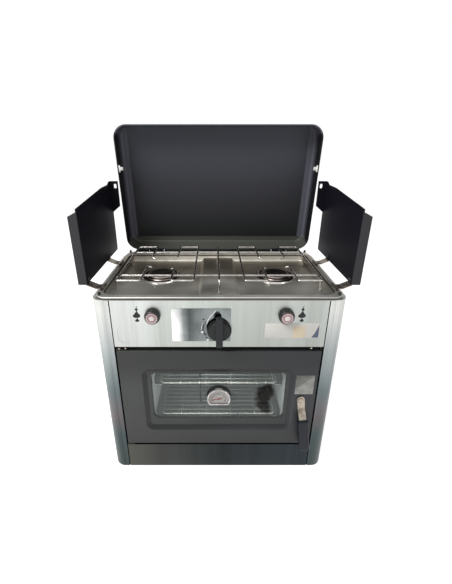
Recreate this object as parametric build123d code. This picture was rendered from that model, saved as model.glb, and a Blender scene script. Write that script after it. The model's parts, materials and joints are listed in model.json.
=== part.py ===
from build123d import *
import math
import os

# Gas stove with oven: a table-top cabinet with a two-burner hob, a small oven, a lid and two
# folding windshields. Millimetres. +X is right, +Y is back, +Z is up, and Z 0 is the surface
# that the rubber feet stand on. Depths are measured back from the front face of the cabinet.

# Cabinet
body_w = 516.0
body_d = 312.0
front_y = -168.56
corner_r = 26.0
hob_w = 500.0
hob_corner_r = 24.0
foot_h = 8.0
sheet = 1.2
strip_w = 36.5
strip_x = body_w / 2 - strip_w
panel_x = strip_x - 2.2
return_depth = 11.8
jamb_depth = 13.0
jamb_top_z = 446.0
rear_return = 15.0

# Front face, from the floor up
skirt_top_z = 78.6
door_bottom_z = 82.5
door_top_z = 345.5
panel_bottom_z = 356.0
lip_z = 463.5
rim_top_z = 470.5

# Hob tray
rim_w = 12.0
rim_front = -1.4
rear_rim_w = 27.0
rim_edge_r = 3.0
well_depth = 20.0
well_r = 22.0
well_floor_z = rim_top_z - well_depth
bridge_half_w = 37.5
bridge_top_z = well_floor_z + 10.0
burner_x = 138.0
burner_depth = 167.0
burner_hole_r = 43.0

# Pan support, bent from one size of wire
grate_z = 491.5
grate_wire_r = 2.1
grate_front = 36.0
grate_rear = 279.0
grate_side_x = 211.0
grate_inner_x = 52.5
finger_outer_x = 162.0
finger_inner_x = 99.5
cross_wire_depths = (76.0, 240.0)

# Oven cavity
oven_half_w = 150.0
oven_floor_z = 97.0
oven_top_z = 330.0
oven_front = 22.0
oven_rear = 270.0
flange_x = body_w / 2 - sheet - 0.8
rack_levels = (139.5, 233.0)
rack_half_w = 137.0
rack_wire_r = 1.8
rack_front = 38.0
rack_rear = 258.0
rack_wire_step = 15.0
rack_bar_x = (30.0, 90.0)
probe_x = -44.0
probe_depth = 62.0

# Oven door
door_half_w = 218.5
door_depth = 19.0
hinge_x = -211.5
hinge_depth = 6.0
hinge_pin_r = 2.5
window_half_w = 151.0
window_bottom_z = 156.5
window_top_z = 284.6
frame_margin_x = 19.0
frame_bottom_z = 125.0
frame_top_z = 300.0
frame_recess = 6.0
frame_slope_deg = 62.0
glass_t = 4.0
thermometer_z = 223.4
thermometer_r = 26.0
thermometer_front = 8.0
thermometer_flat = 16.8
needle_z = 221.5
needle_shaft_r = 1.0

# Door latch
latch_x = 186.0
latch_z = 215.7
latch_lean_deg = 7.5
latch_shaft_r = 4.0
tongue_length = 44.0
tongue_front = 9.0
tongue_back = 12.0
tongue_swing_z = (latch_z - 9, latch_z + 36)

# Knobs and gas valves
burner_knob_x = 135.0
burner_knob_z = 430.0
oven_knob_z = 398.0
nozzle_z = 429.0
spindle_r = 3.0
running_gap = 0.06
push_travel = 3.0
valve_front = 8.0
valve_back = 44.0
manifold_z = 408.0
manifold_depth = 50.0
manifold_r = 6.0

# Lid, drawn closed and then opened
lid_w = 501.0
lid_front = -4.0
lid_gap = 6.0
lid_depth = 46.5
lid_draft = 7.0
lid_corner_r = 32.0
lid_top_fillet = 6.0
lid_panel_w = 453.0
lid_panel_span = (25.0, 300.0)
lid_panel_rise = 1.5
lid_panel_r = 16.0
lid_hem = 6.5
lid_axis_depth = body_d
lid_axis_z = rim_top_z + lid_gap - 1.8
lid_open_deg = 83.5
lid_barrel_r = 3.2
lid_pin_r = 1.6
lid_barrel_x = (150.0, 190.0)

# Windshields
shield_pivot_x = 242.5
shield_pivot_z = rim_top_z + 3.2
shield_x = 271.0
shield_flange = 17.0
shield_front = 33.0
shield_rear = 283.0
shield_bottom_z = 484.0
shield_tab_x = 251.6
shield_front_top_z = 636.0
shield_rear_top_z = 661.0
strap_depths = (46.5, 202.0)
strap_w = 24.0

right = 1
left = -1


def y_at(depth):
    """Y of a plane that lies this far behind the front face."""
    return front_y + depth


def block(x, depth, z):
    """A box from its low and high X, depth and Z."""
    size = Box(x[1] - x[0], depth[1] - depth[0], z[1] - z[0], align=(Align.MIN, Align.MIN, Align.MIN))
    return Pos(x[0], y_at(depth[0]), z[0]) * size


def rod(start, end, radius):
    """A round bar between two points given as X, depth, Z."""
    low = Vector(start[0], y_at(start[1]), start[2])
    high = Vector(end[0], y_at(end[1]), end[2])
    bar = Cylinder(radius, (high - low).length, align=(Align.CENTER, Align.CENTER, Align.MIN))
    return Plane(origin=low, z_dir=high - low) * bar


def bent_rod(points, bend_r, radius):
    """A round bar bent through points given as X, depth, Z."""
    corners = [(x, y_at(depth), z) for x, depth, z in points]
    path = FilletPolyline(*corners, radius=bend_r)
    section = Plane(origin=path @ 0, z_dir=path % 0) * Circle(radius)
    return sweep(section, path=path)


def upright_prism(width, depth_span, radius, z):
    """A rounded rectangle in plan, centred on X 0, raised from a low to a high Z."""
    length = depth_span[1] - depth_span[0]
    centre = y_at((depth_span[0] + depth_span[1]) / 2)
    return extrude(Pos(0, centre, z[0]) * RectangleRounded(width, length, radius), amount=z[1] - z[0])


def facing_prism(width, height, radius, z_low, depth, taper=0):
    """A rounded rectangle that faces the front, centred on X 0, between two depths."""
    plane = Plane(origin=(0, y_at(depth[0]), z_low + height / 2), x_dir=(1, 0, 0), z_dir=(0, 1, 0))
    return extrude(plane * RectangleRounded(width, height, radius), amount=depth[1] - depth[0], taper=taper)


def turned_along_y(profile, x, z):
    """A piece turned about a front-to-back axis, from its radius and depth profile."""
    plane = Plane(origin=(x, front_y, z), x_dir=(1, 0, 0), z_dir=(0, 0, 1))
    face = plane * make_face(Polyline(*profile, close=True))
    return revolve(face, Axis((x, front_y, z), (0, 1, 0)))


def turned_along_z(profile, x, depth):
    """A piece turned about an upright axis, from its radius and Z profile."""
    plane = Plane(origin=(x, y_at(depth), 0), x_dir=(1, 0, 0), z_dir=(0, -1, 0))
    face = plane * make_face(Polyline(*profile, close=True))
    return revolve(face, Axis((x, y_at(depth), 0), (0, 0, 1)))


def join(pieces):
    """One solid from pieces that touch or overlap."""
    whole = pieces[0]
    for piece in pieces[1:]:
        whole = whole + piece
    return whole


def group(pieces):
    """Separate solids that are kept in one node."""
    solids = []
    for piece in pieces:
        solids.extend(piece.solids())
    return Compound(children=solids)


def mirrored(piece, side):
    """The piece as modelled on the right, or its mirror image for the left."""
    return piece if side == right else mirror(piece, Plane.YZ)


# Cabinet shell


def side_panel(side):
    """Wrapped side sheet: a front strip with a jamb, rounded corners and a rear return."""
    outer = upright_prism(body_w, (0, body_d), corner_r, (foot_h, lip_z))
    inner = upright_prism(body_w - 2 * sheet, (sheet, body_d - sheet), corner_r - sheet, (foot_h, lip_z))
    front_part = block((strip_x, body_w / 2 + 1), (-1, body_d / 2), (0, lip_z + 1))
    rear_part = block((body_w / 2 - rear_return, body_w / 2 + 1), (body_d / 2, body_d + 1), (0, lip_z + 1))
    panel = (outer - inner) & (front_part + rear_part)
    shoulder = upright_prism(body_w, (0, body_d), corner_r, (lip_z - sheet, lip_z))
    shoulder = shoulder - upright_prism(480.4, (10.2, body_d - 14), 18, (lip_z - 2 * sheet, lip_z + 1))
    panel = panel + (shoulder & (front_part + rear_part))
    jamb = block((strip_x, strip_x + sheet), (sheet, jamb_depth), (foot_h + 1.5, jamb_top_z))
    panel = panel + jamb
    for z in ((foot_h + 1.5, skirt_top_z), (panel_bottom_z, jamb_top_z)):
        stop = block((strip_x - 8, strip_x + sheet), (jamb_depth - 1.0, jamb_depth + 0.2), z)
        panel = panel + stop
    if side == right:
        tongue_slot = block((strip_x - 1, strip_x + 2 * sheet), (tongue_front - 1.5, jamb_depth + 1),
                            tongue_swing_z)
        panel = panel - tongue_slot
    return mirrored(panel, side)


def base_panel():
    floor = upright_prism(body_w - 2 * sheet - 0.4, (sheet + 0.2, body_d - sheet - 0.2), corner_r - sheet - 0.2,
                          (foot_h, foot_h + sheet))
    front_edge = block((-strip_x, strip_x), (14, 14 + sheet), (foot_h, foot_h + 14))
    vents = [block((-130, 130), (d, d + 6), (0, 20)) for d in (90, 110, 130, 200, 220, 240)]
    return join([floor, front_edge]) - join(vents)


def back_panel():
    plate_x = body_w / 2 - rear_return - 0.2
    plate = block((-plate_x, plate_x), (body_d - sheet, body_d), (foot_h, lip_z))
    slots = []
    for row_z in (372.0, 388.0, 404.0):
        for column in range(-3, 4):
            x = 48 * column
            slots.append(block((x - 18, x + 18), (body_d - 5, body_d + 2), (row_z, row_z + 6)))
    for row_z in (30.0, 44.0):
        for column in range(-2, 3):
            x = 60 * column
            slots.append(block((x - 22, x + 22), (body_d - 5, body_d + 2), (row_z, row_z + 6)))
    inlet_hole = rod((180, body_d - 5, manifold_z), (180, body_d + 5, manifold_z), 7.2)
    return plate - join(slots) - inlet_hole


def side_returns(z):
    """Folds that run back from both ends of a front panel."""
    return [block((low, low + sheet), (0, return_depth), z) for low in (-panel_x, panel_x - sheet)]


def control_panel():
    face = block((-panel_x, panel_x), (0, sheet), (panel_bottom_z, lip_z))
    lower_fold = block((-panel_x, panel_x), (0, return_depth), (panel_bottom_z, panel_bottom_z + sheet))
    upper_fold = block((-panel_x, panel_x), (0, 5), (lip_z - sheet, lip_z))
    panel = join([face, lower_fold, upper_fold] + side_returns((panel_bottom_z, jamb_top_z)))
    for x, z in knob_places():
        panel = panel - rod((x, -2, z), (x, 6, z), spindle_r + 1.2)
    return panel


def lower_front_panel():
    face = block((-panel_x, panel_x), (0, sheet), (foot_h, skirt_top_z))
    fold = block((-196, 196), (0, return_depth), (skirt_top_z - sheet, skirt_top_z))
    return join([face, fold] + side_returns((foot_h + 1.5, skirt_top_z)))


# Hob


def hob_tray():
    """Pressed tray: rolled rim, sunk well, raised bridge between the burners, two burner holes."""
    rim = upright_prism(hob_w, (rim_front, body_d), hob_corner_r, (lip_z, rim_top_z))
    rim = fillet(rim.faces().sort_by(Axis.Z)[-1].edges(), rim_edge_r)
    rim_void = upright_prism(hob_w - 2 * sheet, (rim_front + sheet, body_d - sheet), hob_corner_r - sheet,
                             (lip_z - 1, rim_top_z - sheet))
    well_w = hob_w - 2 * rim_w
    well_span = (rim_w, body_d - rear_rim_w)
    wall_span = (rim_w - sheet, body_d - rear_rim_w + sheet)
    pan = upright_prism(well_w + 2 * sheet, wall_span, well_r + sheet, (well_floor_z - sheet, rim_top_z - 0.4))
    pan = fillet(pan.faces().sort_by(Axis.Z)[0].edges(), 6.0)
    cavity = upright_prism(well_w, well_span, well_r, (well_floor_z, rim_top_z + 1))
    cavity = fillet(cavity.faces().sort_by(Axis.Z)[0].edges(), 4.8)
    bridge_over = bridge_ridge(bridge_half_w, bridge_top_z, well_span)
    bridge_under = bridge_ridge(bridge_half_w - 2 * sheet, bridge_top_z - sheet, (rim_w - 6, body_d - rear_rim_w + 6))
    tray = (rim - rim_void) + pan
    tray = tray - (cavity - bridge_over)
    under_cut = bridge_under & block((-60, 60), (rim_w, body_d - rear_rim_w), (well_floor_z - 8, bridge_top_z))
    tray = tray - under_cut
    for side in (left, right):
        hole = rod((side * burner_x, burner_depth, well_floor_z - 12),
                   (side * burner_x, burner_depth, well_floor_z + 12), burner_hole_r)
        tray = tray - hole
    return tray


def bridge_ridge(half_w, top_z, span):
    """Long ridge with sloping sides that parts the well in two."""
    slope = 7.0
    foot_z = well_floor_z - 6
    foot_half = half_w + slope * (top_z - foot_z) / 10
    corners = [(-foot_half, foot_z), (foot_half, foot_z), (half_w, top_z), (-half_w, top_z)]
    plane = Plane(origin=(0, y_at(span[0]), 0), x_dir=(-1, 0, 0), z_dir=(0, 1, 0))
    return extrude(plane * make_face(Polyline(*corners, close=True)), amount=span[1] - span[0])


def finger_loop(finger_x, frame_x, front_tip, rear_tip):
    """One wire: finger, rear bar, full-depth bar, front bar, finger, with both tips hooked in."""
    toward = math.copysign(8.0, burner_x - finger_x)
    points = [
        (finger_x + toward, rear_tip, grate_z - 4),
        (finger_x, rear_tip + 4, grate_z),
        (finger_x, grate_rear, grate_z),
        (frame_x, grate_rear, grate_z),
        (frame_x, grate_front, grate_z),
        (finger_x, grate_front, grate_z),
        (finger_x, front_tip - 4, grate_z),
        (finger_x + toward, front_tip, grate_z - 4),
    ]
    return bent_rod(points, 4.0, grate_wire_r)


def pan_support_grate():
    wires = []
    for side in (left, right):
        outer = finger_loop(finger_outer_x, grate_side_x, 129.0, 187.0)
        inner = finger_loop(finger_inner_x, grate_inner_x, 122.0, 187.0)
        wires += [mirrored(outer, side), mirrored(inner, side)]
    leg_foot = bridge_top_z + grate_wire_r
    centre = [(0, grate_front, leg_foot), (0, grate_front, grate_z), (0, grate_rear, grate_z),
              (0, grate_rear - 6, leg_foot)]
    wires.append(bent_rod(centre, 5.0, grate_wire_r))
    cross_z = grate_z - 1.8 * grate_wire_r
    foot_z = well_floor_z + grate_wire_r
    for depth in cross_wire_depths:
        cross = [(-222, depth, foot_z), (-219, depth, cross_z), (219, depth, cross_z), (222, depth, foot_z)]
        wires.append(bent_rod(cross, 7.0, grate_wire_r))
    return join(wires)


def burner_trim_ring(side):
    low = well_floor_z
    profile = [(burner_hole_r, low), (burner_hole_r + 4.2, low), (burner_hole_r + 3.4, low + 2.2),
               (burner_hole_r + 1.6, low + 3.0), (burner_hole_r, low + 2.4)]
    return turned_along_z(profile, side * burner_x, burner_depth)


def burner_body(side):
    """Burner pot with its mixing tube, which runs forward to the gas valve's nozzle."""
    top = well_floor_z + 1.0
    base = well_floor_z - 30
    pot_profile = [(0, base), (27, base), (38.5, base + 12), (38.5, top), (36.5, top), (36.5, base + 13),
                   (26, base + 2), (0, base + 2)]
    x = side * burner_x
    pot = turned_along_z(pot_profile, x, burner_depth)
    tube_end = (side * burner_knob_x, 56, nozzle_z)
    tube = rod((x, burner_depth - 30, nozzle_z), tube_end, 9)
    bore = rod((x, burner_depth - 30, nozzle_z), tube_end, 7.4)
    spoke = rod((x, burner_depth, base + 1), (x, burner_depth, top - 3), 5)
    ear_top = well_floor_z - sheet
    ears = block((x - 47, x + 47), (burner_depth - 5, burner_depth + 5), (ear_top - 2, ear_top))
    ears = ears - rod((x, burner_depth, ear_top - 5), (x, burner_depth, ear_top + 5), 37.5)
    return (pot + ears + tube + spoke) - bore


def burner_cap(side):
    """Stepped round cap with a dished top that covers the pot."""
    low = well_floor_z - 1.0
    profile = [(0, low + 4), (30, low + 4), (35.8, low), (35.8, low + 3), (33.5, low + 5.5), (33.5, low + 8),
               (30.5, low + 10.5), (27, low + 11), (12, low + 9.5), (0, low + 9)]
    skirt = [(5.2, low - 4), (7.5, low - 4), (7.5, low + 4.5), (5.2, low + 4.5)]
    cap = turned_along_z(profile, side * burner_x, burner_depth)
    return cap + turned_along_z(skirt, side * burner_x, burner_depth)


def igniter_electrode(side):
    """Ceramic rod with a spark wire, in the gap beside the cap."""
    x = side * (burner_x - 40.6 * math.cos(math.radians(20)))
    depth = burner_depth + 40.6 * math.sin(math.radians(20))
    body = rod((x, depth, well_floor_z - 26), (x, depth, well_floor_z + 3), 1.6)
    wire = rod((x, depth, well_floor_z + 3), (x, depth, well_floor_z + 9), 0.7)
    pot_x = side * burner_x
    reach = 38.6 / 40.6
    clip_z = well_floor_z - 9
    clip = rod((pot_x + (x - pot_x) * reach, burner_depth + (depth - burner_depth) * reach, clip_z),
               (x, depth, clip_z), 1.2)
    return join([body, wire, clip])


# Oven


def oven_liner():
    """Cavity box with an open front, a wide front flange, a flame opening and a flue slot."""
    wall = 1.0
    outer = block((-oven_half_w - wall, oven_half_w + wall), (oven_front, oven_rear),
                  (oven_floor_z - wall, oven_top_z + wall))
    hollow = block((-oven_half_w, oven_half_w), (oven_front - 2, oven_rear - wall), (oven_floor_z, oven_top_z))
    flange = block((-flange_x, flange_x), (oven_front, oven_front + wall), (76, 353))
    flame_opening = block((-110, 110), (110, 190), (oven_floor_z - 5, oven_floor_z + 1))
    flue = block((-60, 60), (oven_rear - 5, oven_rear + 2), (oven_top_z - 12, oven_top_z - 4))
    probe_hole = rod((probe_x, probe_depth, oven_top_z - 5), (probe_x, probe_depth, oven_top_z + 5), 2.6)
    return (outer + flange) - hollow - flame_opening - flue - probe_hole


def oven_floor_plate():
    plate = block((-138, 138), (30, oven_rear - 8), (oven_floor_z + 7, oven_floor_z + 8.2))
    plate = fillet(plate.edges().filter_by(Axis.Z), 10)
    feet = []
    for x in (-126, 126):
        for depth in (44, oven_rear - 24):
            feet.append(rod((x, depth, oven_floor_z), (x, depth, oven_floor_z + 7), 4))
    return join([plate] + feet)


def oven_burner():
    """Straight tube burner with flame ports, on two legs that stand on the base."""
    z = 66.0
    tube = rod((-118, 150, z), (128, 150, z), 10) - rod((-116, 150, z), (130, 150, z), 8.4)
    for step in range(14):
        x = -104 + 14 * step
        tube = tube - rod((x, 150, z + 5), (x, 150, z + 14), 1.5)
    legs = []
    for x in (-90, 90):
        legs.append(block((x - 8, x + 8), (148.8, 151.2), (foot_h + sheet, z - 9.2)))
        legs.append(block((x - 8, x + 8), (138, 162), (foot_h + sheet, foot_h + 2 * sheet)))
    return join([tube] + legs)


def oven_rack(level):
    frame = bent_rod([(0, rack_front, level), (rack_half_w, rack_front, level), (rack_half_w, rack_rear, level),
                      (-rack_half_w, rack_rear, level), (-rack_half_w, rack_front, level),
                      (-0.5, rack_front, level)], 10.0, rack_wire_r)
    bars = [rod((-1.5, rack_front, level), (1.5, rack_front, level), rack_wire_r)]
    for row in range(1, 14):
        depth = rack_front + rack_wire_step * row
        bars.append(rod((-rack_half_w, depth, level), (rack_half_w, depth, level), 1.1))
    for x in (-rack_bar_x[1], -rack_bar_x[0], rack_bar_x[0], rack_bar_x[1]):
        bars.append(rod((x, rack_front - 0.8, level - 2.2), (x, rack_rear + 0.8, level - 2.2), 1.5))
    return join([frame] + bars)


def rack_runner(side, level):
    top = level - rack_wire_r
    ledge = block((132, oven_half_w), (34, oven_rear - 6), (top - sheet, top))
    web = block((oven_half_w - sheet, oven_half_w), (34, oven_rear - 6), (top - sheet, top + 16))
    return mirrored(ledge + web, side)


def oven_thermocouple():
    """Flame probe that hangs from the roof of the cavity and ends in a ball."""
    x = probe_x
    depth = probe_depth
    stem = rod((x, depth, 172), (x, depth, oven_top_z + 12), 1.8)
    neck = rod((x, depth, 160), (x, depth, 174), 1.1)
    tip = Pos(x, y_at(depth), 160) * Sphere(3.0)
    nut = rod((x, depth, oven_top_z + 1.0), (x, depth, oven_top_z + 7), 5.0)
    return join([stem, neck, tip, nut])


# Gas train


def knob_places():
    return [(-burner_knob_x, burner_knob_z), (burner_knob_x, burner_knob_z), (0.0, oven_knob_z)]


def gas_valve(x, z, low_z, high_z):
    """Valve block with a bore for its spindle and push rod, and a boss on the gas rail."""
    body = block((x - 14, x + 14), (valve_front, valve_back), (low_z, high_z))
    neck = rod((x, sheet, z), (x, valve_front, z), 6)
    boss = rod((x, valve_back - 1, manifold_z), (x, manifold_depth - 2.5, manifold_z), 4.6)
    saddle = rod((x - 10, manifold_depth, manifold_z), (x + 10, manifold_depth, manifold_z), manifold_r + 0.03)
    bore = rod((x, 0, z), (x, 40, z), spindle_r + running_gap)
    return (body + neck + (boss - saddle)) - bore


def gas_valves():
    valves = []
    for side in (left, right):
        x = side * burner_knob_x
        valve = gas_valve(x, burner_knob_z, 400, 448)
        nozzle = rod((x, valve_back, nozzle_z), (x, valve_back + 16, nozzle_z), 3)
        valves.append(valve + nozzle)
    oven_valve = gas_valve(0, oven_knob_z, 382, 418)
    valves.append(oven_valve)
    return group(valves)


def gas_manifold():
    """Gas rail behind the valves, with a pipe back to the inlet."""
    inlet_x = 180.0
    rail = rod((-145, manifold_depth, manifold_z), (inlet_x + 9, manifold_depth, manifold_z), manifold_r)
    pipe = rod((inlet_x, manifold_depth, manifold_z), (inlet_x, body_d - 8, manifold_z), 4.6)
    return rail + pipe


def oven_supply_tube():
    """Tube from the oven valve round the cavity and down to the oven burner."""
    points = [(0, 26, 382), (0, 26, 364), (180, 34, 364), (180, 34, 66), (180, 150, 66), (124, 150, 66)]
    return bent_rod(points, 8.0, 2.6)


def gas_inlet_fitting():
    x = 180.0
    nut = Plane(origin=(x, y_at(body_d - 8), manifold_z), z_dir=(0, 1, 0)) * RegularPolygon(10, 6)
    hexagon = extrude(nut, amount=6.8)
    spigot = rod((x, body_d - 2, manifold_z), (x, body_d + 18, manifold_z), 6.6)
    collar = rod((x, body_d, manifold_z), (x, body_d + 4, manifold_z), 10)
    bore = rod((x, body_d - 4, manifold_z), (x, body_d + 20, manifold_z), 3.2)
    return join([hexagon, spigot, collar]) - bore


def spark_unit():
    """Spark box on the back of the control panel, which feeds the electrodes."""
    case = block((52, 92), (valve_front, 36), (412, 438))
    terminals = [rod((x, 36, 425), (x, 41, 425), 2.4) for x in (62, 82)]
    bracket = block((56, 88), (sheet, valve_front), (436, 438))
    return join([case, bracket] + terminals)


# Knobs


def push_rod(x, z):
    """Pin behind the spindle that opens the safety valve as the knob is pressed."""
    return rod((x, 30, z), (x, 40 - push_travel - 0.5, z), spindle_r)


def spindle(x, z, front):
    """D-shaped valve spindle that carries the knob."""
    shaft = rod((x, -front, z), (x, 30, z), spindle_r)
    flat = block((x - 5, x + 5), (-front - 1, -3), (z + spindle_r - 0.8, z + spindle_r + 2))
    return shaft - flat


def burner_knob(x, z):
    profile = [(0, -13), (13.2, -13), (14.2, -12), (15.2, -6.8), (16, -6.4), (16, -4.2), (0, -4.2)]
    body = turned_along_y(profile, x, z)
    grooves = []
    for step in range(12):
        angle = math.radians(30 * step + 15)
        cx = x + 15.6 * math.cos(angle)
        cz = z + 15.6 * math.sin(angle)
        grooves.append(rod((cx, -12.4, cz), (cx, -6.9, cz), 1.5))
    return (body - join(grooves)) - spindle_socket(x, z, 10)


def oven_knob():
    z = oven_knob_z
    profile = [(0, -13), (20.6, -13), (22, -11.8), (22.6, -8), (25, -7), (25, -4.2), (0, -4.2)]
    disc = turned_along_y(profile, 0, z)
    bar = facing_prism(14, 65, 4.0, z - 31.5, (-23, -8.0))
    bar = fillet(bar.faces().sort_by(Axis.Y)[0].edges(), 1.8)
    return (disc + bar) - spindle_socket(0, z, 18)


def spindle_socket(x, z, front):
    shaft = rod((x, -front, z), (x, 0, z), spindle_r)
    flat = block((x - 5, x + 5), (-front - 1, -3), (z + spindle_r - 0.8, z + spindle_r + 2))
    return shaft - flat


# Oven door


def door_outer_panel():
    """Pressed front sheet with folded edges and a sunk frame round the window."""
    height = door_top_z - door_bottom_z
    shell = facing_prism(2 * door_half_w, height, 3.0, door_bottom_z, (0, door_depth))
    shell = fillet(shell.faces().sort_by(Axis.Y)[0].edges(), 2.0)
    hollow = facing_prism(2 * (door_half_w - sheet), height - 2 * sheet, 1.8, door_bottom_z + sheet,
                          (sheet, door_depth + 1))
    frame_w = 2 * (window_half_w + frame_margin_x)
    frame_h = frame_top_z - frame_bottom_z
    back_frame = facing_prism(frame_w + 2 * sheet, frame_h + 2 * sheet, 20.0, frame_bottom_z - sheet,
                              (0.5, frame_recess + sheet), taper=frame_slope_deg - 4)
    recess = facing_prism(frame_w, frame_h, 18.8, frame_bottom_z, (0, frame_recess), taper=frame_slope_deg)
    window = facing_prism(2 * window_half_w, window_top_z - window_bottom_z, 13.0, window_bottom_z, (-1, 12))
    panel = (shell - hollow) + back_frame
    panel = panel - recess - window
    shaft_hole = rod((latch_x, -1, latch_z), (latch_x, 3, latch_z), latch_shaft_r + 0.08)
    tongue_slot = block((door_half_w - 3, door_half_w + 2), (tongue_front - 1.5, tongue_back + 1.5),
                        tongue_swing_z)
    pin_holes = rod((hinge_x, hinge_depth, 60), (hinge_x, hinge_depth, 360), hinge_pin_r)
    return panel - shaft_hole - tongue_slot - pin_holes


def door_inner_panel():
    plate = facing_prism(2 * door_half_w - 1, door_top_z - door_bottom_z - 1, 4.0, door_bottom_z + 0.5,
                         (door_depth, door_depth + 1))
    window = facing_prism(304, 144, 14.0, 149, (door_depth - 1, door_depth + 3))
    return plate - window


def door_window_channel():
    """Sheet surround that holds the glass and closes the hollow door round the window."""
    back = frame_recess + sheet + glass_t
    outer = facing_prism(308, 148, 16.0, 147, (back, door_depth))
    inner = facing_prism(304, 144, 14.0, 149, (back - 1, door_depth + 1))
    front_flange = facing_prism(314, 154, 18.0, 144, (back, back + sheet))
    return (outer + front_flange) - inner


def door_glass():
    front = frame_recess + sheet
    pane = facing_prism(308, 147, 15.0, 147.5, (front, front + glass_t))
    return pane - rod((0, front - 1, needle_z), (0, front + glass_t + 1, needle_z), 5.0)


def door_seal():
    back = door_depth + 1
    outer = facing_prism(324, 252, 12.0, 88, (back, back + 1.5))
    inner = facing_prism(308, 238, 8.0, 95, (back - 1, back + 2))
    return outer - inner


def door_hinge_pins():
    top = rod((hinge_x, hinge_depth, door_top_z - 9), (hinge_x, hinge_depth, 350.5), hinge_pin_r)
    bottom = rod((hinge_x, hinge_depth, 78.9), (hinge_x, hinge_depth, door_bottom_z + 9), hinge_pin_r)
    return group([top, bottom])


def door_hinge_brackets():
    brackets = []
    for low, tab in ((347.2, (347.2, 353)), (79.6, (79.6, 82))):
        arm = block((hinge_x - 7, hinge_x + 8), (1, oven_front), (low, low + 2))
        hole = rod((hinge_x, hinge_depth, low - 1), (hinge_x, hinge_depth, low + 3), hinge_pin_r + running_gap)
        plate = block((hinge_x - 7, hinge_x + 30), (oven_front - sheet, oven_front), tab)
        brackets.append((arm + plate) - hole)
    return group(brackets)


def thermometer_slab(radius, depth):
    """Round slab with the flat lower edge that the gauge has."""
    disc = turned_along_y([(0, depth[0]), (radius, depth[0]), (radius, depth[1]), (0, depth[1])], 0, thermometer_z)
    keep = block((-40, 40), (depth[0] - 1, depth[1] + 1),
                 (thermometer_z - thermometer_flat + (thermometer_r - radius), thermometer_z + 40))
    return disc & keep


def thermometer_case():
    """Gauge case with a neck through the glass and a probe in the oven."""
    cup = thermometer_slab(24.5, (-4, 4))
    bowl = thermometer_slab(23.0, (-5, 2.4))
    neck = rod((0, 4, needle_z), (0, frame_recess + sheet, needle_z), 8.0)
    stem = rod((0, 4, needle_z), (0, 24, needle_z), 4.8)
    probe = rod((0, 24, needle_z), (0, 33, needle_z), 2.5)
    bearing = rod((0, 1, needle_z), (0, 6.1, needle_z), needle_shaft_r + running_gap)
    return join([cup - bowl, neck, stem, probe]) - bearing


def thermometer_bezel():
    ring = thermometer_slab(thermometer_r, (-thermometer_front, -2.4))
    return ring - thermometer_slab(23.0, (-thermometer_front - 1, -4)) - thermometer_slab(24.5, (-4, -1))


def thermometer_dial():
    plate = thermometer_slab(23.0, (-3.2, -2.4))
    return plate - rod((0, -6, needle_z), (0, 0, needle_z), 1.3)


def thermometer_needle():
    hub = rod((0, -5.2, needle_z), (0, -4, needle_z), 2.6)
    shaft = rod((0, -4.5, needle_z), (0, 5.6, needle_z), needle_shaft_r)
    pointer = block((-15, 7), (-4.9, -4.3), (needle_z - 0.8, needle_z + 0.8))
    tail = block((4, 8), (-4.9, -4.3), (needle_z - 1.8, needle_z + 1.8))
    needle = join([hub, shaft, pointer, tail])
    return needle.rotate(Axis((0, 0, needle_z), (0, 1, 0)), -11)


def thermometer_lens():
    return thermometer_slab(23.0, (-7.2, -6.2))


# Door latch


def hanging(piece):
    """Let a piece of the latch, drawn straight down, lean out at its lower end."""
    return piece.rotate(Axis((latch_x, 0, latch_z), (0, 1, 0)), -latch_lean_deg)


def latch_arm():
    """Strip that lies on the door at its pivot and bends out towards the grip."""
    half = 8.25
    flat_back = -0.4
    thick = 2.4
    flat_front = flat_back - thick
    side_profile = [
        (flat_back, latch_z + 10),
        (flat_back, latch_z - 24),
        (-14.0, latch_z - 50),
        (-14.0, latch_z - 62),
        (-14.0 - thick, latch_z - 62),
        (-14.0 - thick, latch_z - 50.6),
        (flat_front, latch_z - 24.6),
        (flat_front, latch_z + 10),
    ]
    plane = Plane(origin=(latch_x - half, front_y, 0), x_dir=(0, 1, 0), z_dir=(1, 0, 0))
    arm = extrude(plane * make_face(Polyline(*side_profile, close=True)), amount=2 * half)
    top_edges = arm.edges().filter_by(Axis.Y).sort_by(Axis.Z)[-2:]
    arm = fillet(top_edges, 7.5)
    return hanging(arm - rod((latch_x, -6, latch_z), (latch_x, 1, latch_z), latch_shaft_r))


def latch_grip():
    """Moulded grip with a rounded lower end, over the free end of the arm."""
    low = latch_z - 137
    high = latch_z - 47
    plane = Plane(origin=(latch_x, y_at(-22), (low + high) / 2), x_dir=(1, 0, 0), z_dir=(0, 1, 0))
    grip = extrude(plane * RectangleRounded(23, high - low, 6.0), amount=12)
    grip = fillet(grip.faces().sort_by(Axis.Y)[0].edges(), 3.0)
    grip = fillet(grip.faces().sort_by(Axis.Y)[-1].edges(), 2.0)
    socket = block((latch_x - 8.25, latch_x + 8.25), (-16.4, -14.0), (latch_z - 62, high + 1))
    slope_room = block((latch_x - 8.25, latch_x + 8.25), (-17.0, -9.0), (latch_z - 51, high + 1))
    return hanging(grip - socket - slope_room)


def latch_shaft():
    """Rivet, shaft and tongue: the tongue swings behind the keeper when the grip is raised."""
    head = turned_along_y([(0, -5.4), (3.5, -5.2), (6.0, -4.2), (6.0, -2.8), (0, -2.8)], latch_x, latch_z)
    shaft = rod((latch_x, -2.8, latch_z), (latch_x, tongue_back, latch_z), latch_shaft_r)
    tongue = block((latch_x - 6, latch_x + 6), (tongue_front, tongue_back), (latch_z - 7, latch_z + tongue_length))
    tongue = fillet(tongue.edges().filter_by(Axis.Y), 2.5)
    return hanging(join([head, shaft, tongue]))


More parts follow.
